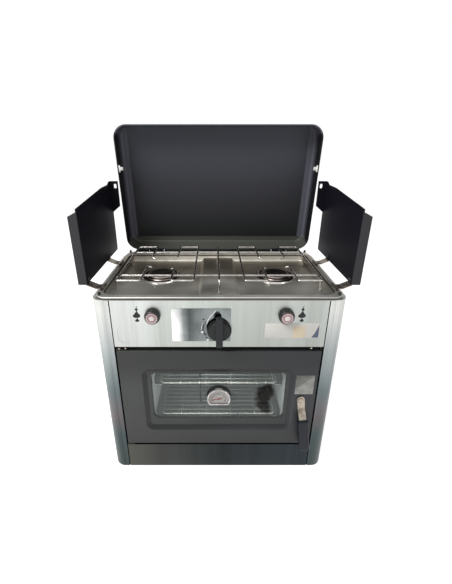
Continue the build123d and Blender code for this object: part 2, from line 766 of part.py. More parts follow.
def latch_keeper():
    """Plate behind the right-hand strip that the tongue bears on."""
    plate = block((strip_x + sheet, strip_x + 16), (sheet, tongue_front - 0.6), (latch_z - 18, latch_z + 18))
    inside = upright_prism(body_w - 2 * sheet, (sheet, body_d - sheet), corner_r - sheet, (foot_h, lip_z))
    return plate & inside


# Lid


def opened(piece):
    """Turn a piece of the closed lid back to its open rest place."""
    return piece.rotate(Axis((0, y_at(lid_axis_depth), lid_axis_z), (1, 0, 0)), -lid_open_deg)


def lid_form(inset):
    """The drawn lid's outer form, or the same form set in by the sheet's thickness."""
    low = rim_top_z + lid_gap
    length = body_d - lid_front
    centre = y_at(lid_front + length / 2)
    outline = Pos(0, centre, low) * RectangleRounded(lid_w - 2 * inset, length - 2 * inset, lid_corner_r - inset)
    form = extrude(outline, amount=lid_depth - inset, taper=lid_draft)
    form = fillet(form.faces().sort_by(Axis.Z)[-1].edges(), lid_top_fillet - inset)
    raised_low = low + lid_depth - inset - 1
    length = lid_panel_span[1] - lid_panel_span[0]
    centre = y_at(lid_panel_span[0] + length / 2)
    outline = Pos(0, centre, raised_low) * RectangleRounded(lid_panel_w - 2 * inset, length - 2 * inset,
                                                            lid_panel_r - inset)
    return form + extrude(outline, amount=lid_panel_rise + 1)


def lid_shell():
    """Pressed lid with a raised panel, and a hem folded in along its edge."""
    low = rim_top_z + lid_gap
    hem = lid_form(sheet) & upright_prism(lid_w, (lid_front, body_d), lid_corner_r, (low, low + lid_hem))
    hem_span = (lid_front + 2 * sheet + 0.4, body_d - 2 * sheet - 0.4)
    hem = hem - upright_prism(lid_w - 4 * sheet - 0.8, hem_span, lid_corner_r - 2 * sheet, (low - 1, low + lid_hem + 1))
    shell = (lid_form(0) - lid_form(sheet)) + hem
    for side in (left, right):
        barrel_room = rod((side * (lid_barrel_x[0] - 1), lid_axis_depth, lid_axis_z),
                          (side * (lid_barrel_x[1] + 1), lid_axis_depth, lid_axis_z), lid_barrel_r + 0.5)
        shell = shell - barrel_room
    return opened(shell)


def barrel_segments(moving):
    """Lengths of the hinge barrel, in X, that belong to the lid or to the cabinet."""
    low, high = lid_barrel_x
    third = (high - low) / 3
    if moving:
        return [(low + third + 0.3, high - third - 0.3)]
    return [(low, low + third), (high - third, high)]


def lid_hinge_leaves():
    """Fixed hinge halves on the back panel, each with its pin, and the strip behind the hob rim."""
    leaves = []
    for side in (left, right):
        low, high = lid_barrel_x
        plate = block((low, high), (body_d, body_d + sheet), (436, lid_axis_z - lid_barrel_r - 0.4))
        pieces = [plate]
        for start, end in barrel_segments(False):
            pieces.append(rod((start, lid_axis_depth, lid_axis_z), (end, lid_axis_depth, lid_axis_z), lid_barrel_r))
            pieces.append(block((start, end), (body_d, body_d + sheet), (lid_axis_z - 8, lid_axis_z)))
        pieces.append(rod((low, lid_axis_depth, lid_axis_z), (high, lid_axis_depth, lid_axis_z), lid_pin_r))
        leaves.append(mirrored(join(pieces), side))
    return group(leaves + [rear_strip()])


def rear_strip():
    """Black strip along the back of the hob that closes the gap under the lid."""
    low, high = lid_barrel_x
    strip = block((-226, 226), (body_d, body_d + sheet), (452, lid_axis_z + 0.5))
    for side in (left, right):
        room = block(tuple(sorted((side * (low - 1), side * (high + 1)))), (body_d - 1, body_d + 2 * sheet),
                     (430, lid_axis_z + 1))
        strip = strip - room
    return strip


def lid_hinge_straps():
    """Moving hinge halves, riveted to the lid's rear wall."""
    straps = []
    for side in (left, right):
        start, end = barrel_segments(True)[0]
        barrel = rod((start, lid_axis_depth, lid_axis_z), (end, lid_axis_depth, lid_axis_z), lid_barrel_r)
        tail = block((start, end), (body_d - 4, body_d + sheet + 0.4), (lid_axis_z, lid_axis_z + 24)) - lid_form(0)
        bore = rod((start - 1, lid_axis_depth, lid_axis_z), (end + 1, lid_axis_depth, lid_axis_z),
                   lid_pin_r + running_gap)
        straps.append(mirrored(opened((barrel + tail) - bore), side))
    return group(straps)


def lid_side_clips():
    """Spring clips inside the lid's side walls, one each side."""
    clips = []
    low = rim_top_z + lid_gap
    for side in (left, right):
        body = block((237, 245), (92, 100), (low + 2.0, low + 7.0))
        foot = block((244, lid_w / 2 - 2.6 * sheet), (88, 104), (low + 0.6, low + 8.5))
        clips.append(mirrored(opened(body + foot), side))
    return group(clips)


def lid_rest_pads():
    """Round pads on the corners of the rim, under the wall of the closed lid."""
    inset = lid_corner_r - (lid_corner_r - sheet / 2) * math.sqrt(0.5)
    pads = []
    for x in (inset - lid_w / 2, lid_w / 2 - inset):
        for depth in (inset + 2, body_d - inset - 1):
            pads.append(rod((x, depth, rim_top_z), (x, depth, rim_top_z + lid_gap - 0.3), 3.0))
    return group(pads)


# Windshields


def windshield_panel(side):
    """Sheet with a front flange turned out, a rear flange turned in and a holed upper tab."""
    outline = [
        (shield_front, shield_bottom_z),
        (shield_rear, shield_bottom_z + 1),
        (shield_rear, shield_rear_top_z),
        (shield_rear - 14, shield_rear_top_z),
        (shield_rear - 27, shield_rear_top_z - 6),
        (shield_rear - 78, shield_rear_top_z - 7),
        (shield_front, shield_front_top_z),
    ]
    plane = Plane(origin=(shield_x - sheet / 2, front_y, 0), x_dir=(0, 1, 0), z_dir=(1, 0, 0))
    sheet_face = extrude(plane * make_face(Polyline(*outline, close=True)), amount=sheet)
    front_outline = [
        (shield_x - sheet / 2, shield_bottom_z - 1),
        (shield_x + shield_flange, shield_bottom_z - 1),
        (shield_x + shield_flange, shield_front_top_z - 14),
        (shield_x + 1.5, shield_front_top_z - 6),
        (shield_x - sheet / 2, shield_front_top_z - 6),
    ]
    front_plane = Plane(origin=(0, y_at(shield_front), 0), x_dir=(1, 0, 0), z_dir=(0, -1, 0))
    front_flange = extrude(front_plane * make_face(Polyline(*front_outline, close=True)), amount=-sheet)
    rear_outline = [
        (shield_x + 10, shield_bottom_z + 4),
        (shield_x - sheet / 2, shield_bottom_z + 7),
        (shield_x - sheet / 2, 584.5),
        (shield_tab_x, 600),
        (shield_tab_x, shield_rear_top_z),
        (shield_x + sheet / 2, shield_rear_top_z),
        (shield_x + sheet / 2, 584),
        (shield_x + 10, 572),
    ]
    rear_plane = Plane(origin=(0, y_at(shield_rear), 0), x_dir=(1, 0, 0), z_dir=(0, -1, 0))
    rear_flange = extrude(rear_plane * make_face(Polyline(*rear_outline, close=True)), amount=-sheet)
    slot_sketch = SlotOverall(11, 6.5, rotation=90)
    slot = Pos(259, y_at(shield_rear), 649) * Rot(90, 0, 0) * extrude(slot_sketch, amount=4, both=True)
    return mirrored(join([sheet_face, front_flange, rear_flange]) - slot, side)


def windshield_straps(side):
    """Two cranked straps, each from a pivot barrel on the rim to the foot of the panel."""
    outer_face = shield_x + sheet / 2
    low_z = shield_pivot_z - 0.8
    high_z = shield_pivot_z + 0.8
    crank = [
        (shield_pivot_x, low_z),
        (254.2, low_z),
        (outer_face + 0.6, shield_bottom_z - 3.4),
        (outer_face + 1.6, shield_bottom_z - 2.2),
        (outer_face + 1.6, shield_bottom_z + 14),
        (outer_face, shield_bottom_z + 14),
        (outer_face, shield_bottom_z - 1.6),
        (253.6, high_z),
        (shield_pivot_x, high_z),
    ]
    straps = []
    for depth in strap_depths:
        span = (depth - strap_w / 2, depth + strap_w / 2)
        barrel = rod((shield_pivot_x, span[0], shield_pivot_z), (shield_pivot_x, span[1], shield_pivot_z), 2.4)
        plane = Plane(origin=(0, y_at(span[0]), 0), x_dir=(-1, 0, 0), z_dir=(0, 1, 0))
        outline = make_face(Polyline(*[(-x, z) for x, z in crank], close=True))
        arm = extrude(plane * outline, amount=strap_w)
        bore = rod((shield_pivot_x, span[0] - 1, shield_pivot_z), (shield_pivot_x, span[1] + 1, shield_pivot_z),
                   1.2 + running_gap)
        strap = (barrel + arm) - bore
        straps.append(mirrored(strap, side))
    return group(straps)


def windshield_hinge_lugs():
    """Lugs on the hob rim, two to a strap, with the pivot pin between them."""
    lugs = []
    for side in (left, right):
        for depth in strap_depths:
            ends = (depth - strap_w / 2 - 3.2, depth + strap_w / 2 + 3.2)
            pieces = [rod((shield_pivot_x, ends[0], shield_pivot_z), (shield_pivot_x, ends[1], shield_pivot_z), 1.2)]
            for start in (ends[0], ends[1] - 3.0):
                pieces.append(block((shield_pivot_x - 2.4, shield_pivot_x + 2.4), (start, start + 3.0),
                                    (rim_top_z, shield_pivot_z + 1.0)))
                pieces.append(rod((shield_pivot_x, start, shield_pivot_z),
                                  (shield_pivot_x, start + 3.0, shield_pivot_z), 2.4))
            lug = join(pieces) & block((200, 260), (0, body_d), (rim_top_z, rim_top_z + 12))
            lugs.append(mirrored(lug, side))
    return group(lugs)


# Feet and fasteners


def rubber_feet():
    feet = []
    for x in (-208, 208):
        for depth in (40, body_d - 40):
            profile = [(0, 0), (11, 0), (13, foot_h), (0, foot_h)]
            feet.append(turned_along_z(profile, x, depth))
    return group(feet)


def cabinet_screws():
    """Pan-head screws that hold the back panel."""
    screws = []
    for x in (-226, 226):
        for z in (40, 240, 440):
            profile = [(0, body_d), (3.6, body_d), (3.6, body_d + 1.0), (2.4, body_d + 2.2), (0, body_d + 2.4)]
            screws.append(turned_along_y(profile, x, z))
    return group(screws)


def all_nodes():
    nodes = {
        "left_side_panel": side_panel(left),
        "right_side_panel": side_panel(right),
        "base_panel": base_panel(),
        "back_panel": back_panel(),
        "control_panel": control_panel(),
        "lower_front_panel": lower_front_panel(),
        "hob_tray": hob_tray(),
        "pan_support_grate": pan_support_grate(),
        "burner_trim_rings": group([burner_trim_ring(left), burner_trim_ring(right)]),
        "burner_bodies": group([burner_body(left), burner_body(right)]),
        "burner_caps": group([burner_cap(left), burner_cap(right)]),
        "igniter_electrodes": group([igniter_electrode(left), igniter_electrode(right)]),
        "oven_liner": oven_liner(),
        "oven_floor_plate": oven_floor_plate(),
        "oven_burner": oven_burner(),
        "oven_racks": group([oven_rack(level) for level in rack_levels]),
        "rack_runners": group([rack_runner(side, level) for side in (left, right) for level in rack_levels]),
        "oven_thermocouple": oven_thermocouple(),
        "gas_valves": gas_valves(),
        "gas_manifold": gas_manifold(),
        "oven_supply_tube": oven_supply_tube(),
        "gas_inlet_fitting": gas_inlet_fitting(),
        "spark_unit": spark_unit(),
        "oven_knob": oven_knob(),
        "oven_spindle": spindle(0, oven_knob_z, 18),
        "oven_push_rod": push_rod(0, oven_knob_z),
        "door_outer_panel": door_outer_panel(),
        "door_inner_panel": door_inner_panel(),
        "door_window_channel": door_window_channel(),
        "door_glass": door_glass(),
        "door_seal": door_seal(),
        "door_hinge_pins": door_hinge_pins(),
        "door_hinge_brackets": door_hinge_brackets(),
        "thermometer_case": thermometer_case(),
        "thermometer_bezel": thermometer_bezel(),
        "thermometer_dial": thermometer_dial(),
        "thermometer_needle": thermometer_needle(),
        "thermometer_lens": thermometer_lens(),
        "latch_arm": latch_arm(),
        "latch_grip": latch_grip(),
        "latch_shaft": latch_shaft(),
        "latch_keeper": latch_keeper(),
        "lid_shell": lid_shell(),
        "lid_hinge_leaves": lid_hinge_leaves(),
        "lid_hinge_straps": lid_hinge_straps(),
        "lid_side_clips": lid_side_clips(),
        "lid_rest_pads": lid_rest_pads(),
        "windshield_hinge_lugs": windshield_hinge_lugs(),
        "rubber_feet": rubber_feet(),
        "cabinet_screws": cabinet_screws(),
    }
    for name, side in (("left", left), ("right", right)):
        x = side * burner_knob_x
        nodes[name + "_burner_knob"] = burner_knob(x, burner_knob_z)
        nodes[name + "_spindle"] = spindle(x, burner_knob_z, 10)
        nodes[name + "_push_rod"] = push_rod(x, burner_knob_z)
        nodes[name + "_windshield_panel"] = windshield_panel(side)
        nodes[name + "_windshield_straps"] = windshield_straps(side)
    return nodes


def main():
    os.makedirs("parts", exist_ok=True)
    nodes = all_nodes()
    for name, shape in nodes.items():
        export_step(shape, "parts/" + name + ".step")
    print(len(nodes), "nodes written")


main()
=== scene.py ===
import bmesh
import bpy
import json
import math
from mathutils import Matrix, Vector


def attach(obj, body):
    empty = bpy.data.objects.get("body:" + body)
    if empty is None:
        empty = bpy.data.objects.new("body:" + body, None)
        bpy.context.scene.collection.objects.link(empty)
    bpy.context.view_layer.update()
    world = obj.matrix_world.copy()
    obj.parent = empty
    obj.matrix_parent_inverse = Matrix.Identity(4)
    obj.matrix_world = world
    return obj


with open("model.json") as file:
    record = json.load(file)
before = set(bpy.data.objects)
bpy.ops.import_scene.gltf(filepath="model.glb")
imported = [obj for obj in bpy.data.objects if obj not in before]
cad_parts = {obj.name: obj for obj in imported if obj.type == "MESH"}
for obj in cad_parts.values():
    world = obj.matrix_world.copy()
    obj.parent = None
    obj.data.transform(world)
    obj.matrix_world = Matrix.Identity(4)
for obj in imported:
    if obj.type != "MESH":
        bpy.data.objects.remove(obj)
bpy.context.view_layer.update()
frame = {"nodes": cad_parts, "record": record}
nodes_of_cad = frame["nodes"]

# Gas stove with oven. Metres; +X is right, -Y faces the camera, Z 0 is the table.
mm = 0.001
front_y = -168.56
right = 1
left = -1
forward = (0, -1, 0)
upward = (0, 0, 1)

# Places on the stove, in millimetres of X, height and depth behind the front face.
front_half_w = 220
burner_x = 138
burner_depth = 167
knob_x = 135
knob_z = 430
knob_mark_x = 167
rim_top_z = 470.5
window_z = 212.5
window_half_w = 170
window_half_h = 87.5
needle_z = 219.5
latch_plate_low = (170, 231.5)
latch_plate_high = (211, 283)
sheet_face = -0.02
plate_face = -0.5
paper_face = -0.28


def behind_front(depth):
    """Y in metres from the depth behind the front face."""
    return (front_y + depth) * mm


def at(x, depth, z):
    """A point in metres from millimetres of X, depth behind the front face, and height."""
    return Vector((x * mm, behind_front(depth), z * mm))


def side_name(side):
    return "left" if side == left else "right"


# Modelling helpers


def deselect():
    if bpy.context.object and bpy.context.object.mode != "OBJECT":
        bpy.ops.object.mode_set(mode="OBJECT")
    bpy.ops.object.select_all(action="DESELECT")


def settle(name):
    """Names the active piece and puts its place into its mesh."""
    piece = bpy.context.object
    piece.name = name
    piece.data.name = name
    bpy.ops.object.transform_apply(location=True, rotation=True, scale=True)
    return piece


def start_edit(kind):
    """Enters edit mode with nothing selected, ready for edges or faces."""
    bpy.ops.object.mode_set(mode="EDIT")
    bpy.ops.mesh.select_mode(type=kind)
    bpy.ops.mesh.select_all(action="DESELECT")


def close_edit():
    """Turns all faces outwards and leaves edit mode."""
    bpy.ops.mesh.select_all(action="SELECT")
    bpy.ops.mesh.normals_make_consistent(inside=False)
    bpy.ops.object.mode_set(mode="OBJECT")


def pick_edges(piece, wanted):
    """Selects the edges that a test accepts."""
    form = bmesh.from_edit_mesh(piece.data)
    for edge in form.edges:
        if wanted(edge):
            edge.select_set(True)
    bmesh.update_edit_mesh(piece.data)


def along_depth(edge):
    """Whether an edge runs from front to back."""
    a, b = edge.verts
    return abs((b.co - a.co).normalized().y) > 0.99


def soften(piece, width):
    """Bevels the sharp edges of a piece and smooths it."""
    bevel = piece.modifiers.new("edges", "BEVEL")
    bevel.width = width * mm
    bevel.segments = 2
    bevel.limit_method = "ANGLE"
    bevel.angle_limit = math.radians(40)
    bpy.context.view_layer.objects.active = piece
    bpy.ops.object.modifier_apply(modifier=bevel.name)
    smooth(piece)


def smooth(piece, angle=35):
    deselect()
    piece.select_set(True)
    bpy.context.view_layer.objects.active = piece
    bpy.ops.object.shade_smooth_by_angle(angle=math.radians(angle))


def plate(name, low, high, corner, edge):
    """A flat plate on the front, from its low and high corners in metres, with round corners."""
    deselect()
    centre = (low + high) / 2
    bpy.ops.mesh.primitive_cube_add(size=1, location=centre)
    bpy.context.object.scale = high - low
    piece = settle(name)
    start_edit("EDGE")
    pick_edges(piece, along_depth)
    bpy.ops.mesh.bevel(offset=corner * mm, segments=5, affect="EDGES")
    bpy.ops.object.mode_set(mode="OBJECT")
    soften(piece, edge)
    return piece


def turned(name, centre, direction, profile, sides):
    """A round piece: a disc pulled out along a direction through radius and distance steps."""
    deselect()
    turn = Vector(direction).to_track_quat("Z", "Y").to_euler()
    first_r, first_d = profile[0]
    start = Vector(centre) + Vector(direction) * first_d * mm
    bpy.ops.mesh.primitive_circle_add(vertices=sides, radius=first_r * mm, fill_type="NGON", location=start,
                                      rotation=turn)
    piece = settle(name)
    start_edit("FACE")
    bpy.ops.mesh.select_all(action="SELECT")
    last_r, last_d = first_r, first_d
    for r, d in profile[1:]:
        here = Vector(centre) + Vector(direction) * d * mm
        if d == last_d:
            bpy.ops.mesh.inset(thickness=(last_r - r) * mm)
        else:
            step = Vector(direction) * (d - last_d) * mm
            bpy.ops.mesh.extrude_region_move(TRANSFORM_OT_translate={"value": step})
            if r != last_r:
                k = r / last_r
                bpy.ops.transform.resize(value=(k, k, k), center_override=here)
        last_r, last_d = r, d
    close_edit()
    smooth(piece)
    return piece


def flat_shape(name, corners, centre, thickness):
    """A thin cut-out that lies on the front face, from its outline in millimetres of X and Z."""
    deselect()
    bpy.ops.mesh.primitive_circle_add(vertices=len(corners), radius=0.01, fill_type="NGON",
                                      location=(0, 0, 0))
    piece = bpy.context.object
    for vertex, (x, z) in zip(piece.data.vertices, corners):
        vertex.co = Vector(centre) + Vector((x * mm, 0, z * mm))
    piece = settle(name)
    start_edit("FACE")
    bpy.ops.mesh.select_all(action="SELECT")
    bpy.ops.mesh.extrude_region_move(TRANSFORM_OT_translate={"value": (0, -thickness * mm, 0)})
    close_edit()
    return piece


# Shared shader groups


def new_group(name, inputs, outputs):
    """An empty shader group with its sockets."""
    tree = bpy.data.node_groups.new(name, "ShaderNodeTree")
    for label, kind, value in inputs:
        socket = tree.interface.new_socket(name=label, in_out="INPUT", socket_type=kind)
        if value is not None:
            socket.default_value = value
    for label, kind in outputs:
        tree.interface.new_socket(name=label, in_out="OUTPUT", socket_type=kind)
    return tree, tree.nodes.new("NodeGroupInput"), tree.nodes.new("NodeGroupOutput")


def calc(tree, operation, *values, clamp=False):
    """A calculation on numbers and on the outputs of other nodes."""
    node = tree.nodes.new("ShaderNodeMath")
    node.operation = operation
    node.use_clamp = clamp
    for socket, value in zip(node.inputs, values):
        if isinstance(value, (int, float)):
            socket.default_value = value
        else:
            tree.links.new(value, socket)
    return node.outputs[0]


def brushed_grain_group():
    """Long fine streaks, as a brushing wheel leaves them."""
    tree, given, result = new_group(
        "brushed_grain",
        [("Coordinates", "NodeSocketVector", None), ("Lines", "NodeSocketVector", (1500, 1500, 20)),
         ("Contrast", "NodeSocketFloat", 1.0)],
        [("Streak", "NodeSocketFloat"), ("Height", "NodeSocketFloat")])
    new, link = tree.nodes.new, tree.links.new
    stretch = new("ShaderNodeVectorMath")
    stretch.operation = "MULTIPLY"
    link(given.outputs["Coordinates"], stretch.inputs[0])
    link(given.outputs["Lines"], stretch.inputs[1])
    fine = new("ShaderNodeTexNoise")
    fine.inputs["Scale"].default_value = 1.0
    fine.inputs["Detail"].default_value = 4.0
    fine.inputs["Roughness"].default_value = 0.7
    link(stretch.outputs[0], fine.inputs["Vector"])
    broad = new("ShaderNodeTexNoise")
    broad.inputs["Scale"].default_value = 0.09
    broad.inputs["Detail"].default_value = 2.0
    link(stretch.outputs[0], broad.inputs["Vector"])
    both = calc(tree, "ADD", fine.outputs["Fac"], broad.outputs["Fac"])
    centred = calc(tree, "SUBTRACT", both, 1.0)
    scaled = calc(tree, "MULTIPLY", centred, given.outputs["Contrast"])
    link(calc(tree, "ADD", scaled, 0.5, clamp=True), result.inputs["Streak"])
    link(fine.outputs["Fac"], result.inputs["Height"])
    return tree


def handling_patches_group():
    """Soft uneven patches, as handling and rolling leave on a sheet."""
    tree, given, result = new_group(
        "handling_patches",
        [("Coordinates", "NodeSocketVector", None), ("Size", "NodeSocketFloat", 12.0)],
        [("Patch", "NodeSocketFloat")])
    new, link = tree.nodes.new, tree.links.new
    cloud = new("ShaderNodeTexNoise")
    cloud.inputs["Detail"].default_value = 3.0
    link(given.outputs["Coordinates"], cloud.inputs["Vector"])
    link(given.outputs["Size"], cloud.inputs["Scale"])
    spread = new("ShaderNodeMapRange")
    spread.inputs["From Min"].default_value = 0.3
    spread.inputs["From Max"].default_value = 0.7
    link(cloud.outputs["Fac"], spread.inputs["Value"])
    link(spread.outputs["Result"], result.inputs["Patch"])
    return tree


def paint_skin_group():
    """The fine orange-peel skin of sprayed or baked paint and of moulded plastic."""
    tree, given, result = new_group(
        "paint_skin",
        [("Coordinates", "NodeSocketVector", None), ("Pores", "NodeSocketFloat", 900.0)],
        [("Height", "NodeSocketFloat")])
    new, link = tree.nodes.new, tree.links.new
    skin = new("ShaderNodeTexNoise")
    skin.inputs["Detail"].default_value = 2.0
    skin.inputs["Roughness"].default_value = 0.6
    link(given.outputs["Coordinates"], skin.inputs["Vector"])
    link(given.outputs["Pores"], skin.inputs["Scale"])
    link(skin.outputs["Fac"], result.inputs["Height"])
    return tree


def rising_tone_group():
    """A value that rises with height, with a slightly wavy edge, which places painted light and shade by
    height.
    """
    tree, given, result = new_group(
        "painted_light_height_mask",
        [("Coordinates", "NodeSocketVector", None), ("Bottom", "NodeSocketFloat", 0.0),
         ("Top", "NodeSocketFloat", 0.46), ("Waver", "NodeSocketFloat", 0.03)],
        [("Tone", "NodeSocketFloat")])
    new, link = tree.nodes.new, tree.links.new
    parts = new("ShaderNodeSeparateXYZ")
    link(given.outputs["Coordinates"], parts.inputs[0])
    wave = new("ShaderNodeTexNoise")
    wave.inputs["Scale"].default_value = 7.0
    link(given.outputs["Coordinates"], wave.inputs["Vector"])
    shift = calc(tree, "MULTIPLY_ADD", wave.outputs["Fac"], given.outputs["Waver"], parts.outputs["Z"])
    span = new("ShaderNodeMapRange")
    link(shift, span.inputs["Value"])
    link(given.outputs["Bottom"], span.inputs["From Min"])
    link(given.outputs["Top"], span.inputs["From Max"])
    link(span.outputs["Result"], result.inputs["Tone"])
    return tree


brushed_grain = brushed_grain_group()
handling_patches = handling_patches_group()
paint_skin = paint_skin_group()
painted_light_height_mask = rising_tone_group()


class Finish:
    """A material being mixed: its shader, its coordinates and a few ways to feed them."""

    def __init__(self, name, rough=0.5, metal=0.0, specular=0.5):
        self.material = bpy.data.materials.new(name)
        self.material.use_nodes = True
        self.tree = self.material.node_tree
        self.shader = self.tree.nodes["Principled BSDF"]
        self.shader.inputs["Metallic"].default_value = metal
        self.shader.inputs["Roughness"].default_value = rough
        self.shader.inputs["Specular IOR Level"].default_value = specular
        self.place = self.tree.nodes.new("ShaderNodeTexCoord").outputs["Object"]

    def link(self, a, b):
        self.tree.links.new(a, b)

    def group(self, tree, **values):
        """A shared group at the piece's own coordinates, with its other inputs given by name."""
        node = self.tree.nodes.new("ShaderNodeGroup")
        node.node_tree = tree
        self.link(self.place, node.inputs["Coordinates"])
        for label, value in values.items():
            node.inputs[label].default_value = value
        return node

    def axis(self, name):
        """The X, Y or Z of the point on the piece."""
        node = self.tree.nodes.new("ShaderNodeSeparateXYZ")
        self.link(self.place, node.inputs[0])
        return node.outputs[name]

    def span(self, value, low, high, to_low=0.0, to_high=1.0):
        """A value that goes from to_low to to_high while the given one goes from low to high."""
        node = self.tree.nodes.new("ShaderNodeMapRange")
        self.link(value, node.inputs["Value"])
        ends = {"From Min": low, "From Max": high, "To Min": to_low, "To Max": to_high}
        for label, number in ends.items():
            node.inputs[label].default_value = number
        return node.outputs["Result"]

    def step(self, operation, first, second=None):
        """A calculation on a vector, which gives a number or another vector."""
        node = self.tree.nodes.new("ShaderNodeVectorMath")
        node.operation = operation
        self.link(first, node.inputs[0])
        if second is not None:
            node.inputs[1].default_value = second
        return node.outputs["Value" if operation in ("DISTANCE", "DOT_PRODUCT", "LENGTH") else "Vector"]

    def ramp(self, value, stops):
        """A colour from stops of a place and a colour, or of a place and a grey."""
        node = self.tree.nodes.new("ShaderNodeValToRGB")
        node.color_ramp.elements.remove(node.color_ramp.elements[1])
        for index, (place, colour) in enumerate(stops):
            stop = node.color_ramp.elements[0] if index == 0 else node.color_ramp.elements.new(place)
            stop.position = place
            stop.color = (*colour, 1) if isinstance(colour, tuple) else (colour, colour, colour, 1)
        self.link(value, node.inputs["Fac"])
        return node.outputs["Color"]

    def mix(self, share, low, high, blend="MIX"):
        """A mix of two colours, each a constant or an output."""
        node = self.tree.nodes.new("ShaderNodeMix")
        node.data_type = "RGBA"
        node.blend_type = blend
        for socket, value in ((node.inputs[0], share), (node.inputs[6], low), (node.inputs[7], high)):
            if isinstance(value, (int, float)):
                socket.default_value = value
            elif isinstance(value, tuple):
                socket.default_value = (*value, 1)
            else:
                self.link(value, socket)
        return node.outputs[2]

    def multiply(self, first, second):
        return self.mix(1.0, first, second, "MULTIPLY")

    def colour(self, value):
        if isinstance(value, tuple):
            self.shader.inputs["Base Color"].default_value = (*value, 1)
        else:
            self.link(value, self.shader.inputs["Base Color"])

    def roughness(self, value, low, high):
        self.link(self.span(value, 0.0, 1.0, low, high), self.shader.inputs["Roughness"])

    def bump(self, height, depth, strength):
        """Relief in the normal, with its depth in millimetres."""
        node = self.tree.nodes.new("ShaderNodeBump")
        node.inputs["Distance"].default_value = depth * mm
        node.inputs["Strength"].default_value = strength
        self.link(height, node.inputs["Height"])
        self.link(node.outputs["Normal"], self.shader.inputs["Normal"])


def brushed_sheet(name, low, high, rough, lines, contrast):
    """Flat steel sheet between two tones."""
    look = Finish(name, rough, 1.0)
    grain = look.group(brushed_grain, Lines=lines, Contrast=contrast)
    patch = look.group(handling_patches, Size=9.0)
    tone = look.mix(grain.outputs["Streak"], low, high)
    look.colour(look.mix(0.25, tone, look.ramp(patch.outputs["Patch"], [(0.0, low), (1.0, high)])))
    look.roughness(grain.outputs["Streak"], rough - 0.08, rough + 0.08)
    look.bump(grain.outputs["Height"], 0.02, 0.35)
    return look.material


def strip_finish():
    """Brushed steel of the side sheets, with a painted reflection that darkens towards the table."""
    look = Finish("side_brushed_steel", 0.36, 1.0)
    grain = look.group(brushed_grain, Lines=(900, 900, 6), Contrast=1.3)
    painted_light_rise = look.group(painted_light_height_mask, Bottom=0.02, Top=0.47, Waver=0.06)
    # Painted reflection: dark near the table, pinkish and blue-grey bands in the middle, pale at the top.
    tone = look.ramp(painted_light_rise.outputs["Tone"], [(0.0, (0.040, 0.052, 0.050)), (0.28, (0.058, 0.074, 0.075)),
                                            (0.42, (0.118, 0.105, 0.110)), (0.56, (0.115, 0.140, 0.145)),
                                            (0.78, (0.29, 0.315, 0.315)), (1.0, (0.56, 0.565, 0.545))])
    streaks = look.ramp(grain.outputs["Streak"], [(0.0, (0.46, 0.47, 0.49)), (0.45, 0.90),
                                                  (1.0, (1.20, 1.20, 1.18))])
    look.colour(look.multiply(tone, streaks))
    look.roughness(grain.outputs["Streak"], 0.28, 0.44)
    look.bump(grain.outputs["Height"], 0.02, 0.35)
    return look.material


def panel_finish():
    """Brushed steel front: fine upright streaks, and a painted reflection that is a little darker along the
    bottom and brighter at the left.
    """
    look = Finish("control_panel_brushed_steel", 0.38, 1.0)
    grain = look.group(brushed_grain, Lines=(700, 700, 9), Contrast=1.0)
    painted_light_rise = look.group(painted_light_height_mask, Bottom=0.36, Top=0.47, Waver=0.01)
    base = look.ramp(painted_light_rise.outputs["Tone"], [(0.0, (0.35, 0.37, 0.355)), (1.0, (0.44, 0.465, 0.45))])
    streaks = look.ramp(grain.outputs["Streak"], [(0.0, (0.70, 0.71, 0.70)), (0.5, 0.98), (1.0, 1.12)])
    # Painted reflection: brighter at the left, a little darker towards the right.
    span = look.span(look.axis("X"), -front_half_w * mm, front_half_w * mm)
    painted_light_across = look.ramp(span, [(0.0, (1.30, 1.26, 1.26)), (0.14, (1.22, 1.19, 1.19)),
                              (0.35, (1.0, 1.0, 0.98)), (0.65, (0.86, 0.86, 0.84)),
                              (1.0, (0.90, 0.89, 0.88))])
    look.colour(look.multiply(look.multiply(base, streaks), painted_light_across))
    look.roughness(grain.outputs["Streak"], 0.34, 0.44)
    look.bump(grain.outputs["Height"], 0.01, 0.3)
    return look.material


def skirt_finish():
    """Brushed steel below the door, with a painted dark reflection that is darkest in the middle."""
    look = Finish("lower_front_brushed_steel", 0.38, 1.0)
    grain = look.group(brushed_grain, Lines=(350, 350, 3), Contrast=1.2)
    # Painted dark reflection, deepest in the middle.
    span = look.span(look.axis("X"), -front_half_w * mm, front_half_w * mm)
    painted_light_across = look.ramp(span, [(0.0, (0.064, 0.064, 0.056)), (0.25, (0.036, 0.038, 0.037)),
                              (0.5, (0.018, 0.021, 0.022)), (1.0, (0.021, 0.027, 0.032))])
    streaks = look.ramp(grain.outputs["Streak"], [(0.0, 0.72), (0.5, 1.0), (1.0, 1.3)])
    look.colour(look.multiply(painted_light_across, streaks))
    look.bump(grain.outputs["Height"], 0.02, 0.3)
    return look.material


def painted(name, colour, rough, specular, pores=900.0, depth=0.02, patches=0.25, strength=0.4):
    """Paint or plastic with its skin and a slight unevenness."""
    look = Finish(name, rough, 0.0, specular)
    skin = look.group(paint_skin, Pores=pores)
    patch = look.group(handling_patches, Size=14.0)
    darker = tuple(c * (1 - patches) for c in colour)
    lighter = tuple(c * (1 + patches) for c in colour)
    look.colour(look.mix(patch.outputs["Patch"], darker, lighter))
    look.roughness(patch.outputs["Patch"], rough - 0.05, rough + 0.05)
    look.bump(skin.outputs["Height"], depth, strength)
    return look.material


def printed(name, colour, rough=0.5, depth=0.003, patches=0.05):
    """Print, or bare paper."""
    specular = 0.3
    pores = 500.0
    return painted(name, colour, rough, specular, pores, depth, patches)


